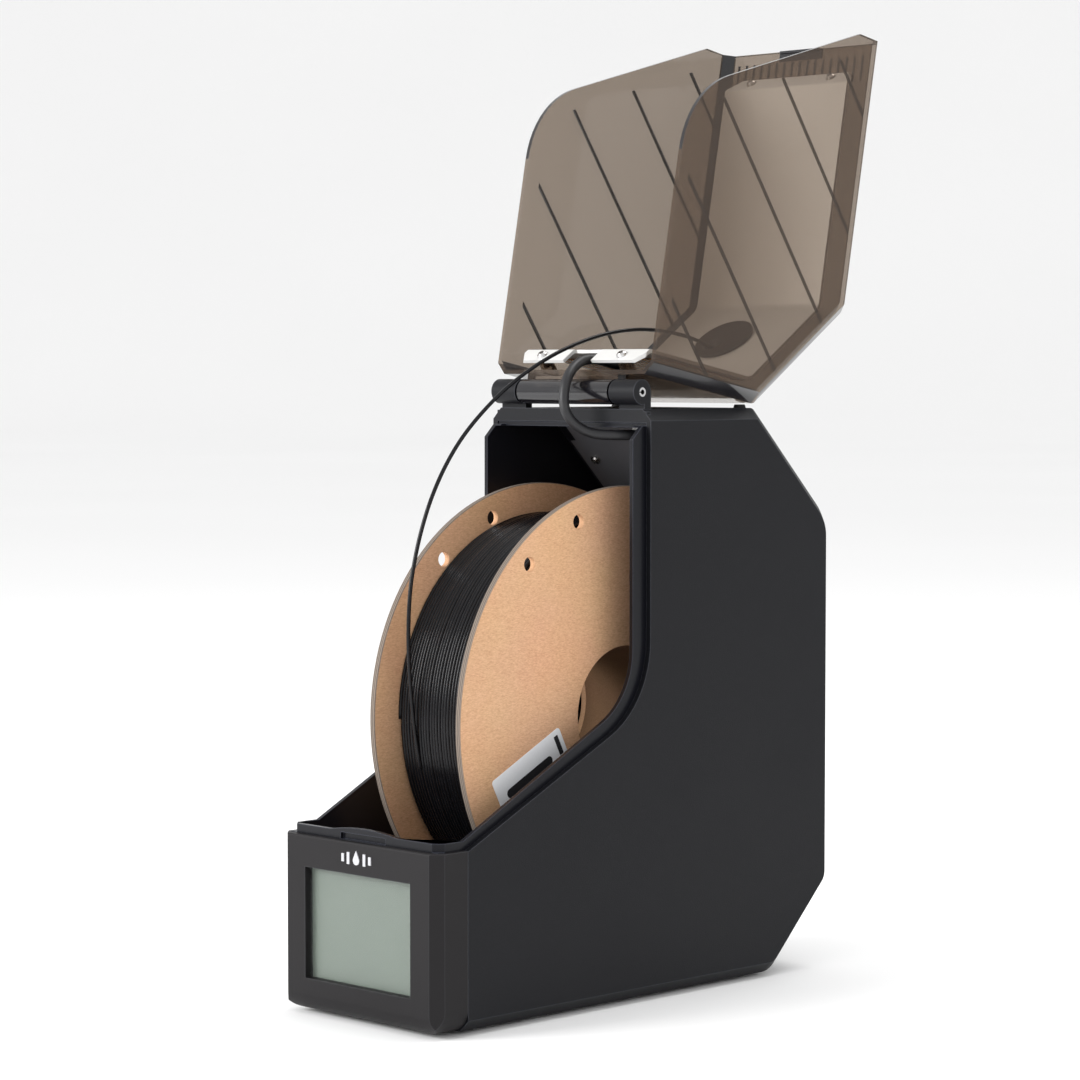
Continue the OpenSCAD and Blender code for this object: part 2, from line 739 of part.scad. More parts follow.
module lid_shell() {
  w = body_w - 2 * lid_inset;
  grip_z0 = front_h + 6.2;
  color(smoked) opened() difference() {
    union() {
      intersection() {
        difference() {
          bevelled_box(w, lid_inset, edge_bevel);
          bevelled_box(w - 2 * lid_t, lid_inset + lid_t, edge_bevel - 0.8);
        }
        across(2 * body_w) polygon(rounded(opening_outline(lid_gap)));
      }
      // Diagonal stiffening beads inside both cheeks
      intersection() {
        for (s = [-1, 1], k = [118.5, 173.6, 228.7, 283.8, 338.9])
          translate([s * (w / 2 - lid_t + 0.15), 0, k]) rotate([-135, 0, 0])
            cylinder(h = far * 2, r = 0.95, center = true);
        bevelled_box(w - 2 * lid_t + 0.8, lid_inset + lid_t - 0.4, edge_bevel - 0.8);
        across(w) polygon(rounded(opening_outline(9.5)));
      }
      // Grip ribs inside the lower end of the front wall
      for (i = [-8:8]) block([i * 4.8 - 0.5, lid_wall_y - 0.5, grip_z0],
        [i * 4.8 + 0.5, lid_wall_y + 0.5, grip_z0 + 12]);
      // Barrel on the pin, and the web down to the top wall
      translate([0, hinge_y, hinge_z]) rod(barrel_r, -lid_barrel_half, lid_barrel_half);
      block([-lid_barrel_half, hinge_y - barrel_r, body_h - lid_inset - 1.5],
            [lid_barrel_half, edge_y - lid_gap, hinge_z]);
      // Posts under the heater plate's flanges
      intersection() {
        at_flange_screws() translate([0, 0, -13]) cylinder(h = 13 - plate_t - 0.05, r = 3.2);
        bevelled_box(w, lid_inset + 0.5, edge_bevel);
      }
    }
    translate([0, hinge_y, hinge_z]) rod(pin_r + running_gap, -far, far);
    at_port() cylinder(h = 60, r = neck_r + 0.1, center = true);
    at_flange_screws() translate([0, 0, -6.2]) cylinder(h = 9, r = 1.55);
  }
}

module lid_catch() {
  z0 = front_h + lid_gap;
  y0 = lid_wall_y + 0.02;
  color("#22232b") opened() union() {
    block([-13.2, y0, z0 + 0.1], [13.2, y0 + 0.7, z0 + 5]);
    // Ridge that snaps into the rim's slot
    block([-12.4, y0, z0 + 0.1], [12.4, rim_y + 0.8, z0 + 1.3]);
  }
}

// The outlet sits off the disc's centre
module at_outlet() {
  at_port() translate([outlet_x, outlet_up, 0]) children();
}

module filament_port() {
  color("#26272b") opened() difference() {
    at_port() union() {
      // Disc on the chamber side, neck through the lid, and nut outside
      translate([0, 0, -1.7]) cylinder(h = 1.6, r = port_r);
      translate([0, 0, -1.6]) cylinder(h = slope_out + 3.4, r = neck_r);
      translate([0, 0, slope_out + 0.05]) cylinder(h = 2, r = neck_r + 2.4);
    }
    at_outlet() translate([0, 0, -3]) cylinder(h = 20, r = grommet_r + 0.02);
  }
}

module port_grommet() {
  color("#0f0f11") opened() at_outlet() rotate_extrude()
    polygon([[4.3, -1.7], [grommet_r, -1.7], [grommet_r, slope_out + 2.1], [6.4, slope_out + 2.1],
      [6.4, slope_out + 3.2], [5.6, slope_out + 3.7], [1.4, slope_out + 3.7], [1.4, 3]]);
}

// ---- Cable and strand, as tubes along chosen points ----

cable_r = 2.25;
strand_r = 0.875;

// Route of the lid heater's cable, from the lid over the barrel to the clip
cable_route = [
  [9.4, 151, 274.4], [8, 147, 275.5], [6.6, 143, 276.7], [5.6, 138.6, 277.5], [5.2, 134.2, 277.7],
  [5.2, 130, 277.2], [5.8, 126, 275.9], [7, 121.2, 273.4], [8.4, 117.2, 270.4],
  [9.4, 114.4, 266.8], [10.1, 112.8, 262.8], [10.6, 112.2, 258.8], [11.2, 112.8, 254.8],
  [12.2, 115, 251], [14, 118.4, 247.8], [16.6, 122.2, 245.6], [19.8, 125.8, 244.7],
  [23.4, 129.2, 244.5], [26.8, 132.6, 244.5], [29.2, 136.4, 244.5], [30, 140.4, 244.55],
  [30, 144.4, 244.6]];

// Route of the strand, from the winding up and over to the lid's port
strand_route = [
  [-11, 46.7, 102], [-11, 44.4, 112], [-11, 42.4, 124], [-11, 40.8, 138], [-11, 39.8, 152],
  [-11, 39.8, 166], [-11, 41, 180], [-10.8, 43.6, 193], [-10.6, 47.6, 206], [-10.2, 53, 219],
  [-9.6, 60.4, 232], [-8.8, 69.6, 244], [-7.8, 81, 255], [-6.8, 94, 265], [-5.6, 108, 273.4],
  [-4.6, 123, 280.4], [-3.8, 139, 285.8], [-3.2, 156, 289.6], [-2.8, 173, 291.2],
  [-2.6, 189, 290.7], [-2.7, 203, 288.8], [-2.8, 214, 286.2]];

// Smooth points through a route, with the given steps in each stretch
function spline(p, steps) = [for (i = [0:len(p) - 2], j = [0:steps - 1])
  let (t = j / steps, a = p[max(i - 1, 0)], b = p[i], c = p[i + 1], d = p[min(i + 2, len(p) - 1)])
  0.5 * (2 * b + (c - a) * t + (2 * a - 5 * b + 4 * c - d) * t * t
    + (3 * b - a - 3 * c + d) * t * t * t), p[len(p) - 1]];

function heading(p, i) = unit(p[min(i + 1, len(p) - 1)] - p[max(i - 1, 0)]);

// A tube of n sides swept along the points
module tube(p, r, n) {
  rings = [for (i = [0:len(p) - 1])
    let (h = heading(p, i), side = unit(cross(h, [0, 0.3, -1])), up = cross(side, h))
    for (k = [0:n - 1]) p[i] + r * (cos(360 * k / n) * side + sin(360 * k / n) * up)];
  m = len(p);
  walls = [for (i = [0:m - 2], k = [0:n - 1])
    let (a = i * n + k, b = i * n + (k + 1) % n) each [[a, b, b + n], [a, b + n, a + n]]];
  polyhedron(rings, concat(walls,
    [[for (k = [n - 1:-1:0]) k]], [[for (k = [0:n - 1]) (m - 1) * n + k]]));
}

module heater_cable() {
  color("#1c1c1f") placed() tube(spline(cable_route, 2), cable_r, 10);
}

// The strand ends in the funnel of the port's grommet
outlet_open = turned(port_y + outlet_up / sq2, port_z + outlet_up / sq2, -lid_open);

module filament_strand() {
  end = [outlet_x, outlet_open[0] + 1, outlet_open[1] - 1];
  color("#17181b") placed() tube(spline(concat(strand_route, [end]), 3), strand_r, 8);
}

housing();
side_panel_left();
side_panel_right();
base_cover();
base_screws();
rubber_feet();
inner_liner();
front_fascia();
fascia_mark();
display_lens();
display_panel();
control_board();
humidity_sensor();
body_heater_plate();
body_heater_film();
body_plate_screws();
power_board();
dc_inlet();
lid_stop_pads();
hinge_pin();
cable_clip();
roller_rail_left();
roller_rail_right();
rail_screws();
bearing_front_left();
bearing_front_right();
bearing_rear_left();
bearing_rear_right();
front_axle();
roller_front_left();
roller_front_right();
rear_axle();
roller_rear_left();
roller_rear_right();
spool_flange_left();
spool_flange_right();
spool_core();
filament_winding();
spool_label();
lid_shell();
lid_heater_plate();
lid_heater_film();
lid_plate_screws();
lid_catch();
filament_port();
port_grommet();
heater_cable();
filament_strand();
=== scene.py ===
# %% [markdown]
# # A filament dryer box with its lid open
# The imported CAD parts are the fixed frame of this scene. They already stand in their places, in
# metres, with -Y towards the front and +Z up, and every piece made here goes over or beside them.

import json
import math

import bmesh
import bpy
from mathutils import Matrix, Vector

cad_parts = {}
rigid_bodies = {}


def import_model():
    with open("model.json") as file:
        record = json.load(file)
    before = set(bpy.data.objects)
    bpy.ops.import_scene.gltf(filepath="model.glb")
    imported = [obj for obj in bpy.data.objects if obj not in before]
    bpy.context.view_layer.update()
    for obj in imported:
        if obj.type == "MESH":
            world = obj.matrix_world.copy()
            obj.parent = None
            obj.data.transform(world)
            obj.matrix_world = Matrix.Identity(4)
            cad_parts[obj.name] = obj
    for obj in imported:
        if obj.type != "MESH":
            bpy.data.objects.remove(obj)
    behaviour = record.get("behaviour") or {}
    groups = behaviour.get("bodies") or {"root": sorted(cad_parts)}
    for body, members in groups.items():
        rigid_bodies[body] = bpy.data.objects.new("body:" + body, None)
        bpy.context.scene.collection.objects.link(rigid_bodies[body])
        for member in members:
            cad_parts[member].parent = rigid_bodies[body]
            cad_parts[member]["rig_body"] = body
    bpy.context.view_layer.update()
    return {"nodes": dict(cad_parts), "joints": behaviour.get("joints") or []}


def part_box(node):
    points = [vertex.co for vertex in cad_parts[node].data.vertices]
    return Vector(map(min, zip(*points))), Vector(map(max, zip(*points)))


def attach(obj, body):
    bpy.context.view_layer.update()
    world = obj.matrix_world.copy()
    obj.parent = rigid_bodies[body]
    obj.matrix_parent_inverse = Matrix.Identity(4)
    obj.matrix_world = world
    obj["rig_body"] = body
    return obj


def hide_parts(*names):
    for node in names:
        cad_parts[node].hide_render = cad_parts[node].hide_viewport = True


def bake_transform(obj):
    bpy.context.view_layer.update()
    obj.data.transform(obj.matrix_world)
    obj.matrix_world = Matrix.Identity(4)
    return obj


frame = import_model()
scene = bpy.context.scene
MM = 0.001

front_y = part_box("front_fascia")[0].y
floor_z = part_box("housing")[0].z
joint_at = {joint["name"]: Vector(joint["pos_m"]) for joint in frame["joints"]}
spool_at = joint_at["spool_spin"]
hinge_at = joint_at["lid_hinge"]

# %% [markdown]
# ## Camera
# A product view from the front right corner, almost level with the box. A long lens keeps
# the upright edges nearly parallel. The camera looks at a point inside the box from a
# stated turn, tilt and distance, so that it's easy to walk it round the object later.

# %% Camera
camera_turn = math.radians(45.22)
camera_tilt = math.radians(3.02)
camera_distance = 1.416
look_at = Vector((0, -0.0342, 0.1999))

away = Vector((math.cos(camera_tilt) * math.sin(camera_turn),
               -math.cos(camera_tilt) * math.cos(camera_turn),
               math.sin(camera_tilt)))
camera_data = bpy.data.cameras.new("camera")
camera_data.sensor_width = 36
camera_data.lens = 107.5
camera_data.clip_start = 0.05
camera = bpy.data.objects.new("camera", camera_data)
camera.location = look_at + away * camera_distance
camera.rotation_euler = away.to_track_quat("Z", "Y").to_euler()
scene.collection.objects.link(camera)
scene.camera = camera
print("camera", tuple(round(v, 4) for v in camera.location))

# %% [markdown]
# ## Cable and strand
# Two flexible things join the box and its lid: the heater's cable, which comes out between the
# lid's two tabs and loops over the hinge into the chamber, and the filament, which leaves the
# winding in one long bow and enters the lid's port. Each is a round tube along a smooth line
# through a few chosen points, so its length is real.

# %% Points and lines
def placed(point):
    """A point in millimetres from the middle of the front's foot, in the frame's metres."""
    x, y, z = point
    return Vector((x * MM, front_y + y * MM, floor_z + z * MM))


def smooth_line(points, steps):
    """Points along a smooth curve that passes through each of the given points."""
    line = []
    for i in range(len(points) - 1):
        a, b = points[max(i - 1, 0)], points[i]
        c, d = points[i + 1], points[min(i + 2, len(points) - 1)]
        for j in range(steps):
            t = j / steps
            line.append(0.5 * (2 * b + (c - a) * t + (2 * a - 5 * b + 4 * c - d) * t * t
                               + (3 * b - a - 3 * c + d) * t ** 3))
    return line + [points[-1]]


def line_length(line):
    return sum((b - a).length for a, b in zip(line, line[1:]))


# %% A tube along a line
END_DOME = 0.3  # height of a tube's domed end, as a share of its radius


def new_piece(name, shell):
    """Turns the faces built in shell into an object of the scene."""
    bmesh.ops.recalc_face_normals(shell, faces=shell.faces)
    mesh = bpy.data.meshes.new(name)
    shell.to_mesh(mesh)
    shell.free()
    piece = bpy.data.objects.new(name, mesh)
    scene.collection.objects.link(piece)
    return piece


def swept_tube(name, line, radius, sides):
    """A closed round tube along a line, with its ends slightly domed."""
    shell = bmesh.new()
    rings = []
    side = None
    for i, point in enumerate(line):
        ahead = (line[min(i + 1, len(line) - 1)] - line[max(i - 1, 0)]).normalized()
        if side is None:
            side = ahead.orthogonal().normalized()
        side = (side - ahead * side.dot(ahead)).normalized()
        up = ahead.cross(side)
        angles = [2 * math.pi * k / sides for k in range(sides)]
        rings.append([
            shell.verts.new(point + radius * (math.cos(turn) * side + math.sin(turn) * up))
            for turn in angles])
    for ring, after in zip(rings, rings[1:]):
        for k in range(sides):
            shell.faces.new((ring[k], ring[(k + 1) % sides], after[(k + 1) % sides], after[k]))
    for ring, point, outwards in ((rings[0], line[0], line[0] - line[1]),
                                  (rings[-1], line[-1], line[-1] - line[-2])):
        tip = shell.verts.new(point + outwards.normalized() * radius * END_DOME)
        for k in range(sides):
            shell.faces.new((ring[k], ring[(k + 1) % sides], tip))
    tube = new_piece(name, shell)
    tube.data.shade_smooth()
    return tube


# %% Heater cable
cable_points = [
    (9.4, 151, 274.4), (8, 147, 275.5), (6.6, 143, 276.7), (5.6, 138.6, 277.5),
    (5.2, 134.2, 277.7), (5.2, 130, 277.2), (5.8, 126, 275.9), (7, 121.2, 273.4),
    (8.4, 117.2, 270.4), (9.4, 114.4, 266.8), (10.1, 112.8, 262.8), (10.6, 112.2, 258.8),
    (11.2, 112.8, 254.8), (12.2, 115, 251), (14, 118.4, 247.8), (16.6, 122.2, 245.6),
    (19.8, 125.8, 244.7), (23.4, 129.2, 244.5), (26.8, 132.6, 244.5), (29.2, 136.4, 244.5),
    (30, 140.4, 244.55), (30, 144.4, 244.6)]
cable_width = 4.5 * MM
cable_line = smooth_line([placed(point) for point in cable_points], 5)
cable = swept_tube("cable_jacket", cable_line, cable_width / 2, 24)
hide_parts("heater_cable")
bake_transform(cable)
print("cable", round(line_length(cable_line), 4), "m")

# %% Filament strand
strand_points = [
    (-11, 46.7, 102), (-11, 44.4, 112), (-11, 42.4, 124), (-11, 40.8, 138), (-11, 39.8, 152),
    (-11, 39.8, 166), (-11, 41, 180), (-10.8, 43.6, 193), (-10.6, 47.6, 206), (-10.2, 53, 219),
    (-9.6, 60.4, 232), (-8.8, 69.6, 244), (-7.8, 81, 255), (-6.8, 94, 265), (-5.6, 108, 273.4),
    (-4.6, 123, 280.4), (-3.8, 139, 285.8), (-3.2, 156, 289.6), (-2.8, 173, 291.2),
    (-2.6, 189, 290.7), (-2.7, 203, 288.8), (-2.8, 214, 286.2), (-3, 224.91, 282.35)]
strand_width = 1.75 * MM
strand_line = smooth_line([placed(point) for point in strand_points], 8)
strand = swept_tube("strand", strand_line, strand_width / 2, 14)
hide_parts("filament_strand")
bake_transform(strand)
print("strand", round(line_length(strand_line), 4), "m, ends", tuple(strand_line[-1]))

# %% [markdown]
# ## Stage
# A pale floor that curves up into a backdrop far behind, under a nearly white sky, gives
# the even, shadow-poor look of a product set. One large soft lamp stands at the front left,
# so that the front reads lighter than the side, a weaker one at the right keeps the side
# from going flat, and one overhead draws the top's outline. The floor gets the first
# material: its nodes are made one by one, and framed in rows by what they do.

# %% An empty material, and rows of nodes in frames
NODE_STEP, ROW_STEP = 240, 420


def empty_material(name):
    """A material without nodes, with its lists of nodes and links."""
    material = bpy.data.materials.new(name)
    material.use_nodes = True
    material.node_tree.nodes.clear()
    return material, material.node_tree.nodes, material.node_tree.links


def lay_out(material, rows):
    """Frames each row of a material's nodes, one row below the other."""
    nodes = material.node_tree.nodes
    for row, (label, members) in enumerate(rows):
        group = nodes.new("NodeFrame")
        group.label = label
        for column, node in enumerate(members):
            node.parent = group
            node.location = (column * NODE_STEP, -row * ROW_STEP)
    print("material", material.name, len(nodes), "nodes")


# %% Floor with a curved back
def stage_sheet():
    """A floor that turns up in a quarter round into a wall, in metres."""
    front, depth, rise, bend, half_width, arc_steps = -6.0, 14.0, 9.0, 3.0, 14.0, 12
    outline = [(front, 0.0), (depth - bend, 0.0)]
    for i in range(1, arc_steps + 1):
        turn = math.pi / 2 * i / arc_steps
        outline.append((depth - bend + bend * math.sin(turn), bend - bend * math.cos(turn)))
    outline.append((depth, rise))
    mesh = bpy.data.meshes.new("floor")
    verts = [(x, y, z) for y, z in outline for x in (-half_width, half_width)]
    faces = [(2 * i, 2 * i + 1, 2 * i + 3, 2 * i + 2) for i in range(len(outline) - 1)]
    mesh.from_pydata(verts, [], faces)
    mesh.shade_smooth()
    sheet = bpy.data.objects.new("floor", mesh)
    sheet.rotation_euler = (0, 0, camera_turn)
    scene.collection.objects.link(sheet)
    return sheet


floor = stage_sheet()

floor_material, nodes, links = empty_material("pale_floor")
coords = nodes.new("ShaderNodeTexCoord")
coords.label = "Place on the floor"
cloud = nodes.new("ShaderNodeTexNoise")
cloud.label = "Slow change of tone"
cloud.inputs["Scale"].default_value = 0.8
tone = nodes.new("ShaderNodeMix")
tone.label = "Pale grey to white"
tone.data_type = "RGBA"
tone.inputs["A"].default_value = (0.93, 0.93, 0.93, 1)
tone.inputs["B"].default_value = (0.96, 0.96, 0.96, 1)
paint = nodes.new("ShaderNodeBsdfPrincipled")
paint.label = "Matt paper"
paint.inputs["Roughness"].default_value = 0.9
paint.inputs["Specular IOR Level"].default_value = 0.1
output = nodes.new("ShaderNodeOutputMaterial")
rows = (("Tone", (coords, cloud, tone)), ("Paper", (paint, output)))
lay_out(floor_material, rows)
links.new(coords.outputs["Object"], cloud.inputs["Vector"])
links.new(cloud.outputs["Fac"], tone.inputs["Factor"])
links.new(tone.outputs["Result"], paint.inputs["Base Color"])
links.new(paint.outputs["BSDF"], output.inputs["Surface"])
floor.data.materials.append(floor_material)
print("floor", len(floor.data.polygons), "faces")

# %% Sky and lamps
world = bpy.data.worlds.new("studio")
world.use_nodes = True
sky = world.node_tree.nodes["Background"]
sky.inputs["Color"].default_value = (1, 1, 1, 1)
sky.inputs["Strength"].default_value = 0.97
scene.world = world
scene.view_settings.view_transform = "Standard"

lamp_aim = Vector((0, 0, 0.2))
lamps = (
    # name, turn round the box in degrees, height, distance, size, watts
    ("key", -25, 0.75, 1.6, 0.8, 24),
    ("fill", 95, 0.55, 2.2, 1.6, 5),
    ("top", 170, 2.0, 0.9, 0.9, 14),
)
for name, turn, height, distance, size, watts in lamps:
    data = bpy.data.lights.new(name, "AREA")
    data.size = size
    data.energy = watts
    lamp = bpy.data.objects.new(name, data)
    turn = math.radians(turn)
    lamp.location = (math.sin(turn) * distance, -math.cos(turn) * distance, height)
    lamp.rotation_euler = (lamp.location - lamp_aim).to_track_quat("Z", "Y").to_euler()
    scene.collection.objects.link(lamp)
print("lamps", len(lamps))

# %% [markdown]
# ## Moulded plastic
# Most of the box is dark plastic from a steel mould whose surface was etched, which leaves an
# even, sandy grain. The grain is a fine bump, and the gloss changes a little from place to place.
# The corners are painted a shade lighter, as a painted highlight along every edge. One function
# makes every plastic of this kind, and only its numbers change from piece to piece.

# %% Moulded plastic
def moulded_plastic(name, shade, corner_highlight, grain, depth, roughness, mottle, shine=0.25):
    """Etched plastic: shade is its colour, the next argument the colour of a painted highlight on
    its corners, grain and depth are in metres.

    mottle is how far the grain's tone strays from shade, as a share of it."""
    material, nodes, links = empty_material(name)
    coords = nodes.new("ShaderNodeTexCoord")
    coords.label = "Place on the piece"
    sand = nodes.new("ShaderNodeTexNoise")
    sand.label = "Etched sand"
    sand.inputs["Scale"].default_value = 1 / grain
    sand.inputs["Detail"].default_value = 3
    pits = nodes.new("ShaderNodeTexVoronoi")
    pits.label = "Shallow pits"
    pits.inputs["Scale"].default_value = 0.7 / grain
    relief = nodes.new("ShaderNodeMath")
    relief.label = "Sand over pits"
    relief.operation = "MULTIPLY_ADD"
    relief.inputs[1].default_value = 0.45
    bump = nodes.new("ShaderNodeBump")
    bump.label = "Grain height"
    bump.inputs["Strength"].default_value = 0.8
    bump.inputs["Distance"].default_value = depth

    cloud = nodes.new("ShaderNodeTexNoise")
    cloud.label = "Uneven flow"
    cloud.inputs["Scale"].default_value = 28
    cloud.inputs["Detail"].default_value = 4
    speck = nodes.new("ShaderNodeMix")
    speck.label = "Grain tone"
    speck.data_type = "RGBA"
    speck.inputs["A"].default_value = (*[c * (1 - mottle) for c in shade], 1)
    speck.inputs["B"].default_value = (*[c * (1 + mottle) for c in shade], 1)
    surface = nodes.new("ShaderNodeNewGeometry")
    surface.label = "The true surface"
    # Painted highlight: where the rounded normal turns away from the true one, at the corners, the
    # colour is pushed towards a lighter one.
    rounded_surface = nodes.new("ShaderNodeBevel")
    rounded_surface.label = "Surface with rounded corners"
    rounded_surface.samples = 4
    rounded_surface.inputs["Radius"].default_value = 0.7 * MM
    corners = nodes.new("ShaderNodeVectorMath")
    corners.label = "Where the two differ"
    corners.operation = "DOT_PRODUCT"
    highlight_share = nodes.new("ShaderNodeMapRange")
    highlight_share.label = "Only at corners"
    highlight_share.inputs["From Min"].default_value = 0.99
    highlight_share.inputs["From Max"].default_value = 0.86
    highlight_share.inputs["To Max"].default_value = 0.8
    highlighted_corners = nodes.new("ShaderNodeMix")
    highlighted_corners.label = "Painted highlight on corners"
    highlighted_corners.data_type = "RGBA"
    highlighted_corners.inputs["B"].default_value = (*corner_highlight, 1)

    gloss = nodes.new("ShaderNodeMapRange")
    gloss.label = "Gloss from place to place"
    gloss.inputs["To Min"].default_value = roughness - 0.07
    gloss.inputs["To Max"].default_value = roughness + 0.07
    plastic = nodes.new("ShaderNodeBsdfPrincipled")
    plastic.label = name
    plastic.inputs["Specular IOR Level"].default_value = shine
    output = nodes.new("ShaderNodeOutputMaterial")

    rows = (("Grain", (coords, sand, pits, relief, bump)),
            ("Colour", (cloud, speck, highlighted_corners)),
            ("Painted corner highlight", (surface, rounded_surface, corners, highlight_share)),
            ("Gloss", (gloss, plastic, output)))
    lay_out(material, rows)
    links.new(coords.outputs["Object"], sand.inputs["Vector"])
    links.new(coords.outputs["Object"], pits.inputs["Vector"])
    links.new(coords.outputs["Object"], cloud.inputs["Vector"])
    links.new(pits.outputs["Distance"], relief.inputs[0])
    links.new(sand.outputs["Fac"], relief.inputs[2])
    links.new(relief.outputs["Value"], bump.inputs["Height"])
    links.new(sand.outputs["Fac"], speck.inputs["Factor"])
    links.new(surface.outputs["Normal"], corners.inputs[0])
    links.new(rounded_surface.outputs["Normal"], corners.inputs[1])
    links.new(corners.outputs["Value"], highlight_share.inputs["Value"])
    links.new(highlight_share.outputs["Result"], highlighted_corners.inputs["Factor"])
    links.new(speck.outputs["Result"], highlighted_corners.inputs["A"])
    links.new(cloud.outputs["Fac"], gloss.inputs["Value"])
    links.new(highlighted_corners.outputs["Result"], plastic.inputs["Base Color"])
    links.new(gloss.outputs["Result"], plastic.inputs["Roughness"])
    links.new(bump.outputs["Normal"], plastic.inputs["Normal"])
    links.new(plastic.outputs["BSDF"], output.inputs["Surface"])
    return material


housing_plastic = moulded_plastic("housing_plastic", (0.0062, 0.0065, 0.0085),
                                  (0.06, 0.063, 0.075), 0.5 * MM, 0.06 * MM, 0.46, 0.35, 0.17)
liner_plastic = moulded_plastic("liner_plastic", (0.006, 0.0063, 0.009), (0.05, 0.055, 0.075),
                                0.7 * MM, 0.015 * MM, 0.3, 0.06, 0.2)
fascia_plastic = moulded_plastic("fascia_plastic", (0.0125, 0.0115, 0.0125),
                                 (0.05, 0.05, 0.055), 0.4 * MM, 0.02 * MM, 0.48, 0.08, 0.17)
trim_plastic = moulded_plastic("trim_plastic", (0.009, 0.009, 0.011), (0.05, 0.05, 0.055),
                               0.5 * MM, 0.02 * MM, 0.36, 0.08)
pale_plastic = moulded_plastic("pale_plastic", (0.62, 0.62, 0.6), (0.7, 0.7, 0.68),
                               0.5 * MM, 0.015 * MM, 0.42, 0.03)
mark_plastic = moulded_plastic("mark_plastic", (0.5, 0.5, 0.52), (0.6, 0.6, 0.62),
                               0.4 * MM, 0.01 * MM, 0.45, 0.03)

# %% [markdown]
# ## Rubber
# Feet, rollers, grommet and cable jacket are soft and dull. Rubber scatters light widely, picks up
# pale dust, and has a soft, uneven skin.

# %% Rubber
def rubber(name, shade, roughness, dust):
    """Dull rubber with a bloom of pale dust."""
    material, nodes, links = empty_material(name)
    coords = nodes.new("ShaderNodeTexCoord")
    coords.label = "Place on the piece"
    skin = nodes.new("ShaderNodeTexNoise")
    skin.label = "Soft uneven skin"
    skin.inputs["Scale"].default_value = 1400
    skin.inputs["Detail"].default_value = 5
    bump = nodes.new("ShaderNodeBump")
    bump.label = "Skin height"
    bump.inputs["Strength"].default_value = 0.5
    bump.inputs["Distance"].default_value = 0.03 * MM
    bloom = nodes.new("ShaderNodeTexNoise")
    bloom.label = "Patches of dust"
    bloom.inputs["Scale"].default_value = 160
    bloom.inputs["Detail"].default_value = 6
    thin = nodes.new("ShaderNodeMapRange")
    thin.label = "Only a little dust"
    thin.inputs["From Min"].default_value = 0.52
    thin.inputs["From Max"].default_value = 0.8
    thin.inputs["To Max"].default_value = dust
    dusty = nodes.new("ShaderNodeMix")
    dusty.label = "Rubber and dust"
    dusty.data_type = "RGBA"
    dusty.inputs["A"].default_value = (*shade, 1)
    dusty.inputs["B"].default_value = (0.32, 0.31, 0.3, 1)
    dull = nodes.new("ShaderNodeMapRange")
    dull.label = "Duller where dusty"
    dull.inputs["To Min"].default_value = roughness
    dull.inputs["To Max"].default_value = min(1, roughness + 0.25)
    body = nodes.new("ShaderNodeBsdfPrincipled")
    body.label = name
    body.inputs["IOR"].default_value = 1.5
    output = nodes.new("ShaderNodeOutputMaterial")
    rows = (("Skin", (coords, skin, bump)), ("Dust", (bloom, thin, dusty)),
            ("Surface", (dull, body, output)))
    lay_out(material, rows)
    links.new(coords.outputs["Object"], skin.inputs["Vector"])
    links.new(coords.outputs["Object"], bloom.inputs["Vector"])
    links.new(skin.outputs["Fac"], bump.inputs["Height"])
    links.new(bloom.outputs["Fac"], thin.inputs["Value"])
    links.new(bloom.outputs["Fac"], dull.inputs["Value"])
    links.new(thin.outputs["Result"], dusty.inputs["Factor"])
    links.new(dusty.outputs["Result"], body.inputs["Base Color"])
    links.new(dull.outputs["Result"], body.inputs["Roughness"])
    links.new(bump.outputs["Normal"], body.inputs["Normal"])
    links.new(body.outputs["BSDF"], output.inputs["Surface"])
    return material


foot_rubber = rubber("foot_rubber", (0.011, 0.011, 0.011), 0.6, 0.25)
roller_rubber = rubber("roller_rubber", (0.04, 0.04, 0.045), 0.5, 0.2)
jacket_rubber = rubber("jacket_rubber", (0.012, 0.012, 0.014), 0.34, 0.05)

# %% [markdown]
# ## Smoked lid
# The lid is clear plastic with a brown-grey dye, polished on both sides. Its wall has two
# faces. Each stops a share of the light and browns the rest, so two walls look much
# darker than one. Looking along the surface the share grows, which darkens every edge.
# A see-through share is used in place of bent light, because a thin flat wall hardly
# bends it, and lamps then shine through the lid as they do through the real one.

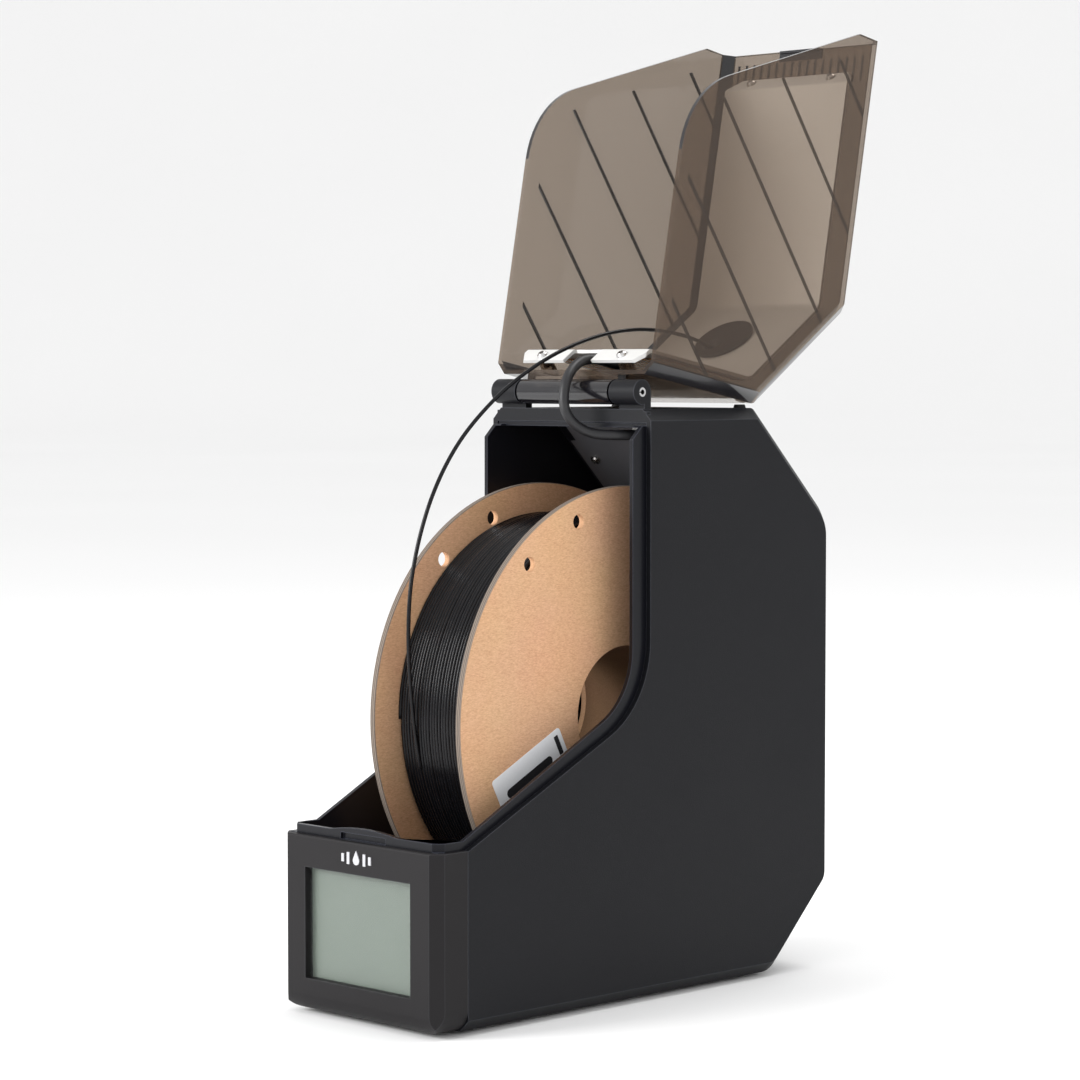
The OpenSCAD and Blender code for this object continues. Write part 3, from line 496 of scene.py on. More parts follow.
# %% Smoked plastic
def smoked(name, thin_dye, thick_dye, tint, stopped, stopped_slanted, roughness):
    """Dyed clear plastic. tint and stopped are for one face, so a wall has them twice."""
    material, nodes, links = empty_material(name)
    coords = nodes.new("ShaderNodeTexCoord")
    coords.label = "Place on the lid"
    flow = nodes.new("ShaderNodeTexNoise")
    flow.label = "Flow of the melt"
    flow.inputs["Scale"].default_value = 9
    flow.inputs["Detail"].default_value = 3
    dye = nodes.new("ShaderNodeMix")
    dye.label = "Thin and thick dye"
    dye.data_type = "RGBA"
    dye.inputs["A"].default_value = (*thin_dye, 1)
    dye.inputs["B"].default_value = (*thick_dye, 1)
    slant = nodes.new("ShaderNodeLayerWeight")
    slant.label = "Seen along the surface"
    slant.inputs["Blend"].default_value = 0.3
    stop = nodes.new("ShaderNodeMapRange")
    stop.label = "Share of light stopped"
    stop.inputs["To Min"].default_value = stopped
    stop.inputs["To Max"].default_value = stopped_slanted
    smudge = nodes.new("ShaderNodeTexNoise")
    smudge.label = "Faint smudges"
    smudge.inputs["Scale"].default_value = 55
    smudge.inputs["Detail"].default_value = 8
    haze = nodes.new("ShaderNodeMapRange")
    haze.label = "Polished, a little smeared"
    haze.inputs["From Min"].default_value = 0.35
    haze.inputs["From Max"].default_value = 0.75
    haze.inputs["To Min"].default_value = roughness
    haze.inputs["To Max"].default_value = roughness + 0.1
    waves = nodes.new("ShaderNodeBump")
    waves.label = "Slight waves of the mould"
    waves.inputs["Strength"].default_value = 0.1
    waves.inputs["Distance"].default_value = 0.3 * MM
    sheet = nodes.new("ShaderNodeBsdfPrincipled")
    sheet.label = "Dyed clear plastic"
    sheet.inputs["IOR"].default_value = 1.55
    sheet.inputs["Coat Weight"].default_value = 0.3
    sheet.inputs["Coat Roughness"].default_value = 0.04
    through = nodes.new("ShaderNodeBsdfTransparent")
    through.label = "Brown light that gets through"
    through.inputs["Color"].default_value = (*tint, 1)
    part_clear = nodes.new("ShaderNodeMixShader")
    part_clear.label = "Stops part of the light"
    output = nodes.new("ShaderNodeOutputMaterial")
    rows = (("Dye", (coords, flow, dye)), ("Clearness", (slant, stop)),
            ("Polish", (smudge, haze, waves)),
            ("Surface", (sheet, through, part_clear, output)))
    lay_out(material, rows)
    links.new(coords.outputs["Object"], flow.inputs["Vector"])
    links.new(coords.outputs["Object"], smudge.inputs["Vector"])
    links.new(flow.outputs["Fac"], dye.inputs["Factor"])
    links.new(flow.outputs["Fac"], waves.inputs["Height"])
    links.new(slant.outputs["Facing"], stop.inputs["Value"])
    links.new(smudge.outputs["Fac"], haze.inputs["Value"])
    links.new(dye.outputs["Result"], sheet.inputs["Base Color"])
    links.new(stop.outputs["Result"], part_clear.inputs["Fac"])
    links.new(haze.outputs["Result"], sheet.inputs["Roughness"])
    links.new(waves.outputs["Normal"], sheet.inputs["Normal"])
    links.new(through.outputs["BSDF"], part_clear.inputs[1])
    links.new(sheet.outputs["BSDF"], part_clear.inputs[2])
    links.new(part_clear.outputs["Shader"], output.inputs["Surface"])
    return material


smoked_plastic = smoked("smoked_plastic", (0.10, 0.068, 0.048), (0.08, 0.056, 0.042),
                        (0.75, 0.69, 0.63), 0.2, 0.8, 0.05)
# Partly painted shade: thick faces get a nearly opaque dark finish, for dye along a long path and
# for light that their curves bend away.
smoked_edge = smoked("smoked_edge", (0.006, 0.006, 0.009), (0.01, 0.009, 0.011),
                     (0.3, 0.27, 0.25), 0.86, 0.99, 0.12)

# %% [markdown]
# ## Metal
# The heater plates are aluminium sheet under a thin satin coat, pale on the lid, with the rolling
# direction just visible as long streaks. The plate in the chamber gets a far darker copy of the
# lid plate's finish, as painted shade for the shadow inside the chamber. Screws, axles and
# bearings are bare steel. All come from one function: streaks are a noise squeezed along one
# direction, which drives the gloss and a very low bump.

# %% Metal
def worked_metal(name, shade, stain, metallic, roughness, streaks, streak_size, depth):
    """Streaked metal. streaks says how far the noise is drawn out along X, Y and Z."""
    material, nodes, links = empty_material(name)
    coords = nodes.new("ShaderNodeTexCoord")
    coords.label = "Place on the piece"
    drawn = nodes.new("ShaderNodeMapping")
    drawn.label = "Drawn along the rolling"
    drawn.inputs["Scale"].default_value = streaks
    lines = nodes.new("ShaderNodeTexNoise")
    lines.label = "Fine streaks"
    lines.inputs["Scale"].default_value = 1 / streak_size
    lines.inputs["Detail"].default_value = 6
    bump = nodes.new("ShaderNodeBump")
    bump.label = "Streak height"
    bump.inputs["Strength"].default_value = 0.6
    bump.inputs["Distance"].default_value = depth
    patch = nodes.new("ShaderNodeTexNoise")
    patch.label = "Handled patches"
    patch.inputs["Scale"].default_value = 35
    patch.inputs["Detail"].default_value = 6
    tint = nodes.new("ShaderNodeMix")
    tint.label = "Clean and handled"
    tint.data_type = "RGBA"
    tint.inputs["A"].default_value = (*shade, 1)
    tint.inputs["B"].default_value = (*stain, 1)
    gloss = nodes.new("ShaderNodeMapRange")
    gloss.label = "Gloss along the streaks"
    gloss.inputs["To Min"].default_value = max(0.04, roughness - 0.1)
    gloss.inputs["To Max"].default_value = roughness + 0.12
    metal = nodes.new("ShaderNodeBsdfPrincipled")
    metal.label = name
    metal.inputs["Metallic"].default_value = metallic
    output = nodes.new("ShaderNodeOutputMaterial")
    rows = (("Streaks", (coords, drawn, lines, bump)), ("Colour", (patch, tint)),
            ("Surface", (gloss, metal, output)))
    lay_out(material, rows)
    links.new(coords.outputs["Object"], drawn.inputs["Vector"])
    links.new(coords.outputs["Object"], patch.inputs["Vector"])
    links.new(drawn.outputs["Vector"], lines.inputs["Vector"])
    links.new(lines.outputs["Fac"], bump.inputs["Height"])
    links.new(lines.outputs["Fac"], gloss.inputs["Value"])
    links.new(patch.outputs["Fac"], tint.inputs["Factor"])
    links.new(tint.outputs["Result"], metal.inputs["Base Color"])
    links.new(gloss.outputs["Result"], metal.inputs["Roughness"])
    links.new(bump.outputs["Normal"], metal.inputs["Normal"])
    links.new(metal.outputs["BSDF"], output.inputs["Surface"])
    return material


coated_sheet = worked_metal("coated_sheet", (0.74, 0.74, 0.73), (0.68, 0.68, 0.67), 0.15, 0.4,
                            (1, 0.05, 0.05), 0.8 * MM, 0.01 * MM)
# Painted shade: the chamber's plate gets the lid plate's finish made far darker, for the shadow
# inside the chamber.
painted_shade_sheet = worked_metal("painted_shade_sheet", (0.15, 0.15, 0.165), (0.12, 0.12, 0.13), 0.15, 0.4,
                            (1, 0.05, 0.05), 0.8 * MM, 0.01 * MM)
bare_steel = worked_metal("bare_steel", (0.66, 0.66, 0.67), (0.55, 0.54, 0.52), 1.0, 0.26,
                          (1, 1, 1), 0.5 * MM, 0.01 * MM)
ground_steel = worked_metal("ground_steel", (0.62, 0.62, 0.63), (0.5, 0.5, 0.49), 1.0, 0.2,
                            (1, 0.08, 0.08), 0.3 * MM, 0.008 * MM)

# %% [markdown]
# ## Cardboard
# The spool's flanges and core are pressed kraft board. Up close it is a felt of short brown
# fibres, some pale and some nearly black, lying in every direction. The cut rim shows the
# board's plies as thin grey lines, and rubs darker than the faces.

# %% Cardboard
def kraft_board(name, rim_radius, pale, deep):
    """Fibre board of two browns. Past rim_radius from the axis it is a cut edge with plies."""
    material, nodes, links = empty_material(name)
    coords = nodes.new("ShaderNodeTexCoord")
    coords.label = "Place on the board"
    lie = nodes.new("ShaderNodeMapping")
    lie.label = "Fibres lie along the face"
    lie.inputs["Rotation"].default_value = (math.radians(30), 0, 0)
    lie.inputs["Scale"].default_value = (1, 0.35, 1)
    cross = nodes.new("ShaderNodeMapping")
    cross.label = "And across it"
    cross.inputs["Rotation"].default_value = (math.radians(-50), 0, 0)
    cross.inputs["Scale"].default_value = (1, 0.3, 1)
    fibres = nodes.new("ShaderNodeTexNoise")
    fibres.label = "Fibres one way"
    fibres.inputs["Scale"].default_value = 2600
    fibres.inputs["Detail"].default_value = 4
    others = nodes.new("ShaderNodeTexNoise")
    others.label = "Fibres the other way"
    others.inputs["Scale"].default_value = 2000
    others.inputs["Detail"].default_value = 4
    felt = nodes.new("ShaderNodeMath")
    felt.label = "Felt of both"
    felt.operation = "MULTIPLY_ADD"
    felt.inputs[1].default_value = 0.5
    half = nodes.new("ShaderNodeMath")
    half.label = "Half of the others"
    half.operation = "MULTIPLY"
    half.inputs[1].default_value = 0.5
    pulp = nodes.new("ShaderNodeValToRGB")
    pulp.label = "Kraft brown"
    pulp.color_ramp.elements[0].position = 0.3
    pulp.color_ramp.elements[0].color = (*deep, 1)
    pulp.color_ramp.elements[1].position = 0.7
    pulp.color_ramp.elements[1].color = (*pale, 1)
    flecks = nodes.new("ShaderNodeTexVoronoi")
    flecks.label = "Stray dark fibres"
    flecks.inputs["Scale"].default_value = 700
    fleck_edge = nodes.new("ShaderNodeMapRange")
    fleck_edge.label = "Only their middles"
    fleck_edge.inputs["From Min"].default_value = 0.06
    fleck_edge.inputs["From Max"].default_value = 0.13
    fleck_edge.inputs["To Min"].default_value = 0.3
    fleck_edge.inputs["To Max"].default_value = 0.0
    fleck = nodes.new("ShaderNodeMix")
    fleck.label = "Board and dark fibres"
    fleck.data_type = "RGBA"
    fleck.inputs["B"].default_value = (0.16, 0.09, 0.05, 1)
    damp = nodes.new("ShaderNodeTexNoise")
    damp.label = "Paler and browner areas"
    damp.inputs["Scale"].default_value = 22
    damp.inputs["Detail"].default_value = 5
    warm = nodes.new("ShaderNodeMix")
    warm.label = "Uneven board"
    warm.data_type = "RGBA"
    warm.blend_type = "SOFT_LIGHT"
    warm.inputs["Factor"].default_value = 0.15

    middle = nodes.new("ShaderNodeVectorMath")
    middle.label = "From the spool's axis"
    middle.operation = "SUBTRACT"
    middle.inputs[1].default_value = spool_at
    flat = nodes.new("ShaderNodeVectorMath")
    flat.label = "Leave out the width"
    flat.operation = "MULTIPLY"
    flat.inputs[1].default_value = (0, 1, 1)
    reach = nodes.new("ShaderNodeVectorMath")
    reach.label = "Distance from the axis"
    reach.operation = "LENGTH"
    rim = nodes.new("ShaderNodeMapRange")
    rim.label = "Past the rim"
    rim.inputs["From Min"].default_value = rim_radius - 0.25 * MM
    rim.inputs["From Max"].default_value = rim_radius
    plies = nodes.new("ShaderNodeTexWave")
    plies.label = "Plies of the board"
    plies.bands_direction = "X"
    plies.inputs["Scale"].default_value = 320
    plies.inputs["Distortion"].default_value = 1.2
    cut = nodes.new("ShaderNodeValToRGB")
    cut.label = "Grey cut edge"
    cut.color_ramp.elements[0].color = (0.085, 0.07, 0.06, 1)
    cut.color_ramp.elements[1].color = (0.26, 0.21, 0.17, 1)
    ends = nodes.new("ShaderNodeMix")
    ends.label = "Face or cut edge"
    ends.data_type = "RGBA"

    bump = nodes.new("ShaderNodeBump")
    bump.label = "Fibre height"
    bump.inputs["Strength"].default_value = 0.5
    bump.inputs["Distance"].default_value = 0.025 * MM
    board = nodes.new("ShaderNodeBsdfPrincipled")
    board.label = "Kraft board"
    board.inputs["Roughness"].default_value = 0.85
    board.inputs["Specular IOR Level"].default_value = 0.25
    output = nodes.new("ShaderNodeOutputMaterial")
    rows = (("Fibres", (coords, lie, cross, fibres, others, half, felt, pulp)),
            ("Flecks and stains", (flecks, fleck_edge, fleck, damp, warm)),
            ("Cut edge", (middle, flat, reach, rim, plies, cut, ends)),
            ("Surface", (bump, board, output)))
    lay_out(material, rows)
    links.new(coords.outputs["Object"], lie.inputs["Vector"])
    links.new(coords.outputs["Object"], cross.inputs["Vector"])
    links.new(coords.outputs["Object"], flecks.inputs["Vector"])
    links.new(coords.outputs["Object"], damp.inputs["Vector"])
    links.new(coords.outputs["Object"], middle.inputs[0])
    links.new(coords.outputs["Object"], plies.inputs["Vector"])
    links.new(lie.outputs["Vector"], fibres.inputs["Vector"])
    links.new(cross.outputs["Vector"], others.inputs["Vector"])
    links.new(others.outputs["Fac"], half.inputs[0])
    links.new(fibres.outputs["Fac"], felt.inputs[0])
    links.new(half.outputs["Value"], felt.inputs[2])
    links.new(felt.outputs["Value"], pulp.inputs["Fac"])
    links.new(flecks.outputs["Distance"], fleck_edge.inputs["Value"])
    links.new(fleck_edge.outputs["Result"], fleck.inputs["Factor"])
    links.new(pulp.outputs["Color"], fleck.inputs["A"])
    links.new(fleck.outputs["Result"], warm.inputs["A"])
    links.new(damp.outputs["Color"], warm.inputs["B"])
    links.new(middle.outputs["Vector"], flat.inputs[0])
    links.new(flat.outputs["Vector"], reach.inputs[0])
    links.new(reach.outputs["Value"], rim.inputs["Value"])
    links.new(plies.outputs["Fac"], cut.inputs["Fac"])
    links.new(rim.outputs["Result"], ends.inputs["Factor"])
    links.new(warm.outputs["Result"], ends.inputs["A"])
    links.new(cut.outputs["Color"], ends.inputs["B"])
    links.new(felt.outputs["Value"], bump.inputs["Height"])
    links.new(ends.outputs["Result"], board.inputs["Base Color"])
    links.new(bump.outputs["Normal"], board.inputs["Normal"])
    links.new(board.outputs["BSDF"], output.inputs["Surface"])
    return material


flange_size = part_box("spool_flange_right")
flange_radius = (flange_size[1].z - flange_size[0].z) / 2
flange_board = kraft_board("flange_board", flange_radius - 0.15 * MM, (0.76, 0.47, 0.285),
                           (0.52, 0.285, 0.155))
# Painted shade: the core is the flanges' fibre board made about three times darker, for the shadow
# it lies in.
core_board_in_shade = kraft_board("core_board_in_shade", flange_radius, (0.26, 0.15, 0.085), (0.17, 0.09, 0.045))

# %% [markdown]
# ## Filament
# Extruded filament is very smooth and black, so it shows mostly as thin bright lines of
# reflected light. Long soft waves along it, from the extruder, break those lines up.

# %% Filament
def extruded_plastic(name, shade, roughness):
    """Smooth extruded plastic with slow waves in its gloss."""
    material, nodes, links = empty_material(name)
    coords = nodes.new("ShaderNodeTexCoord")
    coords.label = "Place on the strand"
    waves = nodes.new("ShaderNodeTexNoise")
    waves.label = "Waves of the extruder"
    waves.inputs["Scale"].default_value = 120
    waves.inputs["Detail"].default_value = 3
    bump = nodes.new("ShaderNodeBump")
    bump.label = "Uneven width"
    bump.inputs["Strength"].default_value = 0.3
    bump.inputs["Distance"].default_value = 0.04 * MM
    tone = nodes.new("ShaderNodeMix")
    tone.label = "Thin and full dye"
    tone.data_type = "RGBA"
    tone.inputs["A"].default_value = (*shade, 1)
    tone.inputs["B"].default_value = (*[c * 1.8 for c in shade], 1)
    gloss = nodes.new("ShaderNodeMapRange")
    gloss.label = "Gloss along the strand"
    gloss.inputs["To Min"].default_value = roughness - 0.06
    gloss.inputs["To Max"].default_value = roughness + 0.12
    plastic = nodes.new("ShaderNodeBsdfPrincipled")
    plastic.label = "Black filament"
    plastic.inputs["Specular IOR Level"].default_value = 0.22
    output = nodes.new("ShaderNodeOutputMaterial")
    rows = (("Waves", (coords, waves, bump)), ("Surface", (tone, gloss, plastic, output)))
    lay_out(material, rows)
    links.new(coords.outputs["Object"], waves.inputs["Vector"])
    links.new(waves.outputs["Fac"], bump.inputs["Height"])
    links.new(waves.outputs["Fac"], tone.inputs["Factor"])
    links.new(waves.outputs["Fac"], gloss.inputs["Value"])
    links.new(tone.outputs["Result"], plastic.inputs["Base Color"])
    links.new(gloss.outputs["Result"], plastic.inputs["Roughness"])
    links.new(bump.outputs["Normal"], plastic.inputs["Normal"])
    links.new(plastic.outputs["BSDF"], output.inputs["Surface"])
    return material


black_filament = extruded_plastic("black_filament", (0.004, 0.004, 0.005), 0.2)
strand.data.materials.append(black_filament)
cable.data.materials.append(jacket_rubber)

# %% [markdown]
# ## Display
# The display is a plain grey-green liquid crystal panel, switched off, behind a thin clear lens.
# The panel is painted darker towards its top, as painted shade, and the very fine frost of its
# polariser gives it a dull sheen.

# %% Display panel and its lens
panel_low, panel_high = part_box("display_lens")
display_face, nodes, links = empty_material("display_face")
coords = nodes.new("ShaderNodeTexCoord")
coords.label = "Place on the panel"
frost = nodes.new("ShaderNodeTexNoise")
frost.label = "Fine frost of the polariser"
frost.inputs["Scale"].default_value = 1800
glass_tone = nodes.new("ShaderNodeMix")
glass_tone.label = "Grey green of the cells"
glass_tone.data_type = "RGBA"
glass_tone.inputs["A"].default_value = (0.135, 0.168, 0.139, 1)
glass_tone.inputs["B"].default_value = (0.141, 0.174, 0.145, 1)
cloud = nodes.new("ShaderNodeTexNoise")
cloud.label = "Uneven backing"
cloud.inputs["Scale"].default_value = 30
cloud.inputs["Detail"].default_value = 2
shaded = nodes.new("ShaderNodeMix")
shaded.label = "Panel with soft patches"
shaded.data_type = "RGBA"
shaded.inputs["B"].default_value = (0.150, 0.184, 0.153, 1)
split = nodes.new("ShaderNodeSeparateXYZ")
split.label = "Height on the panel"
# Painted shade: the panel is darkened towards its top.
top_shade = nodes.new("ShaderNodeMapRange")
top_shade.label = "Painted shade at the top"
top_shade.inputs["From Min"].default_value = panel_low.z
top_shade.inputs["From Max"].default_value = panel_high.z
top_shade.inputs["To Min"].default_value = 0.0
top_shade.inputs["To Max"].default_value = 0.22
edge = nodes.new("ShaderNodeMix")
edge.label = "Darker towards the top"
edge.data_type = "RGBA"
edge.inputs["B"].default_value = (0.11, 0.136, 0.113, 1)
panel = nodes.new("ShaderNodeBsdfPrincipled")
panel.label = "Liquid crystal panel"
panel.inputs["Roughness"].default_value = 0.42
output = nodes.new("ShaderNodeOutputMaterial")
rows = (("Cells", (coords, frost, glass_tone, cloud, shaded)), ("Shade", (split, top_shade, edge)),
        ("Surface", (panel, output)))
lay_out(display_face, rows)
links.new(coords.outputs["Object"], frost.inputs["Vector"])
links.new(coords.outputs["Object"], cloud.inputs["Vector"])
links.new(coords.outputs["Object"], split.inputs["Vector"])
links.new(frost.outputs["Fac"], glass_tone.inputs["Factor"])
links.new(glass_tone.outputs["Result"], shaded.inputs["A"])
links.new(cloud.outputs["Fac"], shaded.inputs["Factor"])
links.new(split.outputs["Z"], top_shade.inputs["Value"])
links.new(top_shade.outputs["Result"], edge.inputs["Factor"])
links.new(shaded.outputs["Result"], edge.inputs["A"])
links.new(edge.outputs["Result"], panel.inputs["Base Color"])
links.new(panel.outputs["BSDF"], output.inputs["Surface"])

clear_lens, nodes, links = empty_material("clear_lens")
coords = nodes.new("ShaderNodeTexCoord")
coords.label = "Place on the lens"
smear = nodes.new("ShaderNodeTexNoise")
smear.label = "Wiped smears"
smear.inputs["Scale"].default_value = 60
smear.inputs["Detail"].default_value = 6
polish = nodes.new("ShaderNodeMapRange")
polish.label = "Polished glass"
polish.inputs["To Min"].default_value = 0.03
polish.inputs["To Max"].default_value = 0.1
pane = nodes.new("ShaderNodeBsdfPrincipled")
pane.label = "Clear lens"
pane.inputs["Base Color"].default_value = (0.3, 0.33, 0.31, 1)
pane.inputs["Alpha"].default_value = 0.08
pane.inputs["Coat Weight"].default_value = 1.0
output = nodes.new("ShaderNodeOutputMaterial")
rows = (("Smears", (coords, smear, polish)), ("Surface", (pane, output)))
lay_out(clear_lens, rows)
links.new(coords.outputs["Object"], smear.inputs["Vector"])
links.new(smear.outputs["Fac"], polish.inputs["Value"])
links.new(polish.outputs["Result"], pane.inputs["Roughness"])
links.new(pane.outputs["BSDF"], output.inputs["Surface"])
print("display", tuple(round(v, 4) for v in panel_high - panel_low))

# %% [markdown]
# ## Label, heating film and circuit boards
# The label is white paper with plain dark blocks and no words. The heating film is an amber
# sheet with a foil track that runs to and fro inside it. The boards lie inside the box, and
# show only where a panel is opened, so they get a plain solder mask with copper lines.

# %% Label paper
def paper_finish(name, shade, other, roughness):
    """Paper or ink on paper: two shades of it, mixed along the fibres."""
    material, nodes, links = empty_material(name)
    coords = nodes.new("ShaderNodeTexCoord")
    coords.label = "Place on the label"
    fibre = nodes.new("ShaderNodeTexNoise")
    fibre.label = "Paper fibre"
    fibre.inputs["Scale"].default_value = 900
    fibre.inputs["Detail"].default_value = 6
    ink = nodes.new("ShaderNodeMix")
    ink.label = "Even and thin places"
    ink.data_type = "RGBA"
    ink.inputs["A"].default_value = (*shade, 1)
    ink.inputs["B"].default_value = (*other, 1)
    bump = nodes.new("ShaderNodeBump")
    bump.label = "Fibre height"
    bump.inputs["Distance"].default_value = 0.01 * MM
    paper = nodes.new("ShaderNodeBsdfPrincipled")
    paper.label = "Label"
    paper.inputs["Roughness"].default_value = roughness
    output = nodes.new("ShaderNodeOutputMaterial")
    rows = (("Paper", (coords, fibre, ink, bump)), ("Surface", (paper, output)))
    lay_out(material, rows)
    links.new(coords.outputs["Object"], fibre.inputs["Vector"])
    links.new(fibre.outputs["Fac"], ink.inputs["Factor"])
    links.new(fibre.outputs["Fac"], bump.inputs["Height"])
    links.new(ink.outputs["Result"], paper.inputs["Base Color"])
    links.new(bump.outputs["Normal"], paper.inputs["Normal"])
    links.new(paper.outputs["BSDF"], output.inputs["Surface"])
    return material


label_paper = paper_finish("label_paper", (0.92, 0.93, 0.95), (0.86, 0.87, 0.9), 0.5)
label_print = paper_finish("label_print", (0.012, 0.012, 0.014), (0.03, 0.03, 0.033), 0.45)


# %% Film and boards
def tracked_sheet(name, ground, track, pitch, roughness):
    """A sheet with a track running to and fro across it, such as a heating foil."""
    material, nodes, links = empty_material(name)
    coords = nodes.new("ShaderNodeTexCoord")
    coords.label = "Place on the sheet"
    bands = nodes.new("ShaderNodeTexWave")
    bands.label = "Track to and fro"
    bands.bands_direction = "X"
    bands.inputs["Scale"].default_value = 0.31 / pitch
    bands.inputs["Distortion"].default_value = 0.4
    sharp = nodes.new("ShaderNodeMapRange")
    sharp.label = "Sharp track edge"
    sharp.inputs["From Min"].default_value = 0.46
    sharp.inputs["From Max"].default_value = 0.54
    cloud = nodes.new("ShaderNodeTexNoise")
    cloud.label = "Uneven lacquer"
    cloud.inputs["Scale"].default_value = 90
    mix = nodes.new("ShaderNodeMix")
    mix.label = "Ground and track"
    mix.data_type = "RGBA"
    mix.inputs["A"].default_value = (*ground, 1)
    mix.inputs["B"].default_value = (*track, 1)
    bump = nodes.new("ShaderNodeBump")
    bump.label = "Track stands proud"
    bump.inputs["Distance"].default_value = 0.05 * MM
    gloss = nodes.new("ShaderNodeMapRange")
    gloss.label = "Gloss of the lacquer"
    gloss.inputs["To Min"].default_value = roughness - 0.08
    gloss.inputs["To Max"].default_value = roughness + 0.08
    film = nodes.new("ShaderNodeBsdfPrincipled")
    film.label = name
    output = nodes.new("ShaderNodeOutputMaterial")
    rows = (("Track", (coords, bands, sharp, mix, bump)), ("Lacquer", (cloud, gloss)),
            ("Surface", (film, output)))
    lay_out(material, rows)
    links.new(coords.outputs["Object"], bands.inputs["Vector"])
    links.new(coords.outputs["Object"], cloud.inputs["Vector"])
    links.new(bands.outputs["Fac"], sharp.inputs["Value"])
    links.new(sharp.outputs["Result"], mix.inputs["Factor"])
    links.new(sharp.outputs["Result"], bump.inputs["Height"])
    links.new(cloud.outputs["Fac"], gloss.inputs["Value"])
    links.new(mix.outputs["Result"], film.inputs["Base Color"])
    links.new(gloss.outputs["Result"], film.inputs["Roughness"])
    links.new(bump.outputs["Normal"], film.inputs["Normal"])
    links.new(film.outputs["BSDF"], output.inputs["Surface"])
    return material


heating_film = tracked_sheet("heating_film", (0.42, 0.16, 0.02), (0.3, 0.13, 0.05), 5 * MM, 0.25)
board_mask = tracked_sheet("board_mask", (0.012, 0.09, 0.035), (0.02, 0.13, 0.05), 1.6 * MM, 0.3)

# %% [markdown]
# ## Softer edges
# No moulded, bent or pressed piece has a knife edge, and the small radius is what catches
# the light along every outline. Each CAD part with bare edges is copied, its flat faces are
# joined again, and its sharp edges get a narrow rounded bevel. The copy rides on the same
# body and stands for the part, which stays hidden behind it.

# %% Corner normals that keep flat faces flat
def even_normals(mesh, limit=50):
    """Gives each corner the normal of the largest faces round it, so that flat faces look flat."""
    least = math.cos(math.radians(limit))
    around = [[] for _ in mesh.vertices]
    for polygon in mesh.polygons:
        polygon.use_smooth = True
        for vertex in polygon.vertices:
            around[vertex].append((polygon.normal.copy(), polygon.area ** 2))
    normals = []
    for polygon in mesh.polygons:
        for vertex in polygon.vertices:
            total = Vector((0, 0, 0))
            for normal, weight in around[vertex]:
                if normal.dot(polygon.normal) > least:
                    total += normal * weight
            normals.append(total.normalized() if total.length > 0 else polygon.normal)
    mesh.normals_split_custom_set(normals)


# %% Copy a part with rounded edges
same_point, no_length, same_plane = 0.002 * MM, 0.005 * MM, math.radians(0.6)


def apply_modifier(piece, modifier):
    with bpy.context.temp_override(object=piece, active_object=piece, selected_objects=[piece]):
        bpy.ops.object.modifier_apply(modifier=modifier.name)


def only_finish(mesh, material):
    """Gives every face of a mesh one material."""
    mesh.materials.clear()
    mesh.materials.append(material)
    for polygon in mesh.polygons:
        polygon.material_index = 0


def softened(parts, name, width, material, segments=2, sharp=28):
    """A copy of CAD parts, welded together, whose edges sharper than sharp degrees are rounded."""
    source = frame["nodes"][parts[0]]
    piece = bpy.data.objects.new(name, source.data.copy())
    piece.data.name = name
    scene.collection.objects.link(piece)
    for part in parts[1:]:
        weld = piece.modifiers.new("weld", "BOOLEAN")
        weld.operation = "UNION"
        weld.solver = "EXACT"
        weld.object = frame["nodes"][part]
        apply_modifier(piece, weld)
    shell = bmesh.new()
    shell.from_mesh(piece.data)
    bmesh.ops.remove_doubles(shell, verts=shell.verts, dist=same_point)
    bmesh.ops.dissolve_degenerate(shell, edges=shell.edges, dist=no_length)
    bmesh.ops.dissolve_limit(shell, angle_limit=same_plane, verts=shell.verts,
                             edges=shell.edges, use_dissolve_boundaries=False)
    bmesh.ops.recalc_face_normals(shell, faces=shell.faces)
    shell.to_mesh(piece.data)
    shell.free()
    if piece.data.attributes.get("custom_normal"):
        piece.data.attributes.remove(piece.data.attributes["custom_normal"])
    rounding = piece.modifiers.new("rounded edges", "BEVEL")
    rounding.width = width
    rounding.segments = segments
    rounding.limit_method = "ANGLE"
    rounding.angle_limit = math.radians(sharp)
    apply_modifier(piece, rounding)
    even_normals(piece.data)
    only_finish(piece.data, material)
    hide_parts(*parts)
    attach(piece, source["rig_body"])
    print("softened", name, len(piece.data.polygons), "faces")
    return piece


# %% Rounded parts
rounded_parts = (
    # CAD parts, name, width of its edge in mm, material, segments
    (("housing", "side_panel_left", "side_panel_right"), "housing_shell", 0.45,
     housing_plastic, 2),
    (("base_cover",), "floor_cover", 0.3, housing_plastic, 2),
    (("front_fascia",), "front_panel", 0.4, fascia_plastic, 3),
    (("inner_liner",), "chamber_liner", 0.4, liner_plastic, 2),
    (("lid_shell",), "smoked_lid", 0.3, smoked_plastic, 2),
    (("lid_heater_plate",), "lid_plate", 0.25, coated_sheet, 2),
    (("body_heater_plate",), "rear_plate", 0.25, painted_shade_sheet, 2),
    (("lid_catch",), "catch", 0.15, trim_plastic, 2),
    (("filament_port",), "port_body", 0.25, trim_plastic, 2),
    (("dc_inlet",), "power_jack", 0.2, trim_plastic, 2),
    (("roller_rail_left",), "rail_left", 0.35, trim_plastic, 2),
    (("roller_rail_right",), "rail_right", 0.35, trim_plastic, 2),
    (("cable_clip",), "clip", 0.3, pale_plastic, 2),
    (("humidity_sensor",), "sensor", 0.25, pale_plastic, 2),
    (("rubber_feet",), "feet", 0.3, foot_rubber, 2),
    (("lid_stop_pads",), "stop_pads", 0.3, foot_rubber, 2),
    (("spool_flange_left",), "flange_left", 0.3, flange_board, 3),
    (("spool_flange_right",), "flange_right", 0.3, flange_board, 3),
    (("spool_core",), "core", 0.2, core_board_in_shade, 2),
)
pieces = {}
for parts, name, width, material, segments in rounded_parts:
    pieces[name] = softened(parts, name, width * MM, material, segments)
print("rounded", len(pieces), "parts")
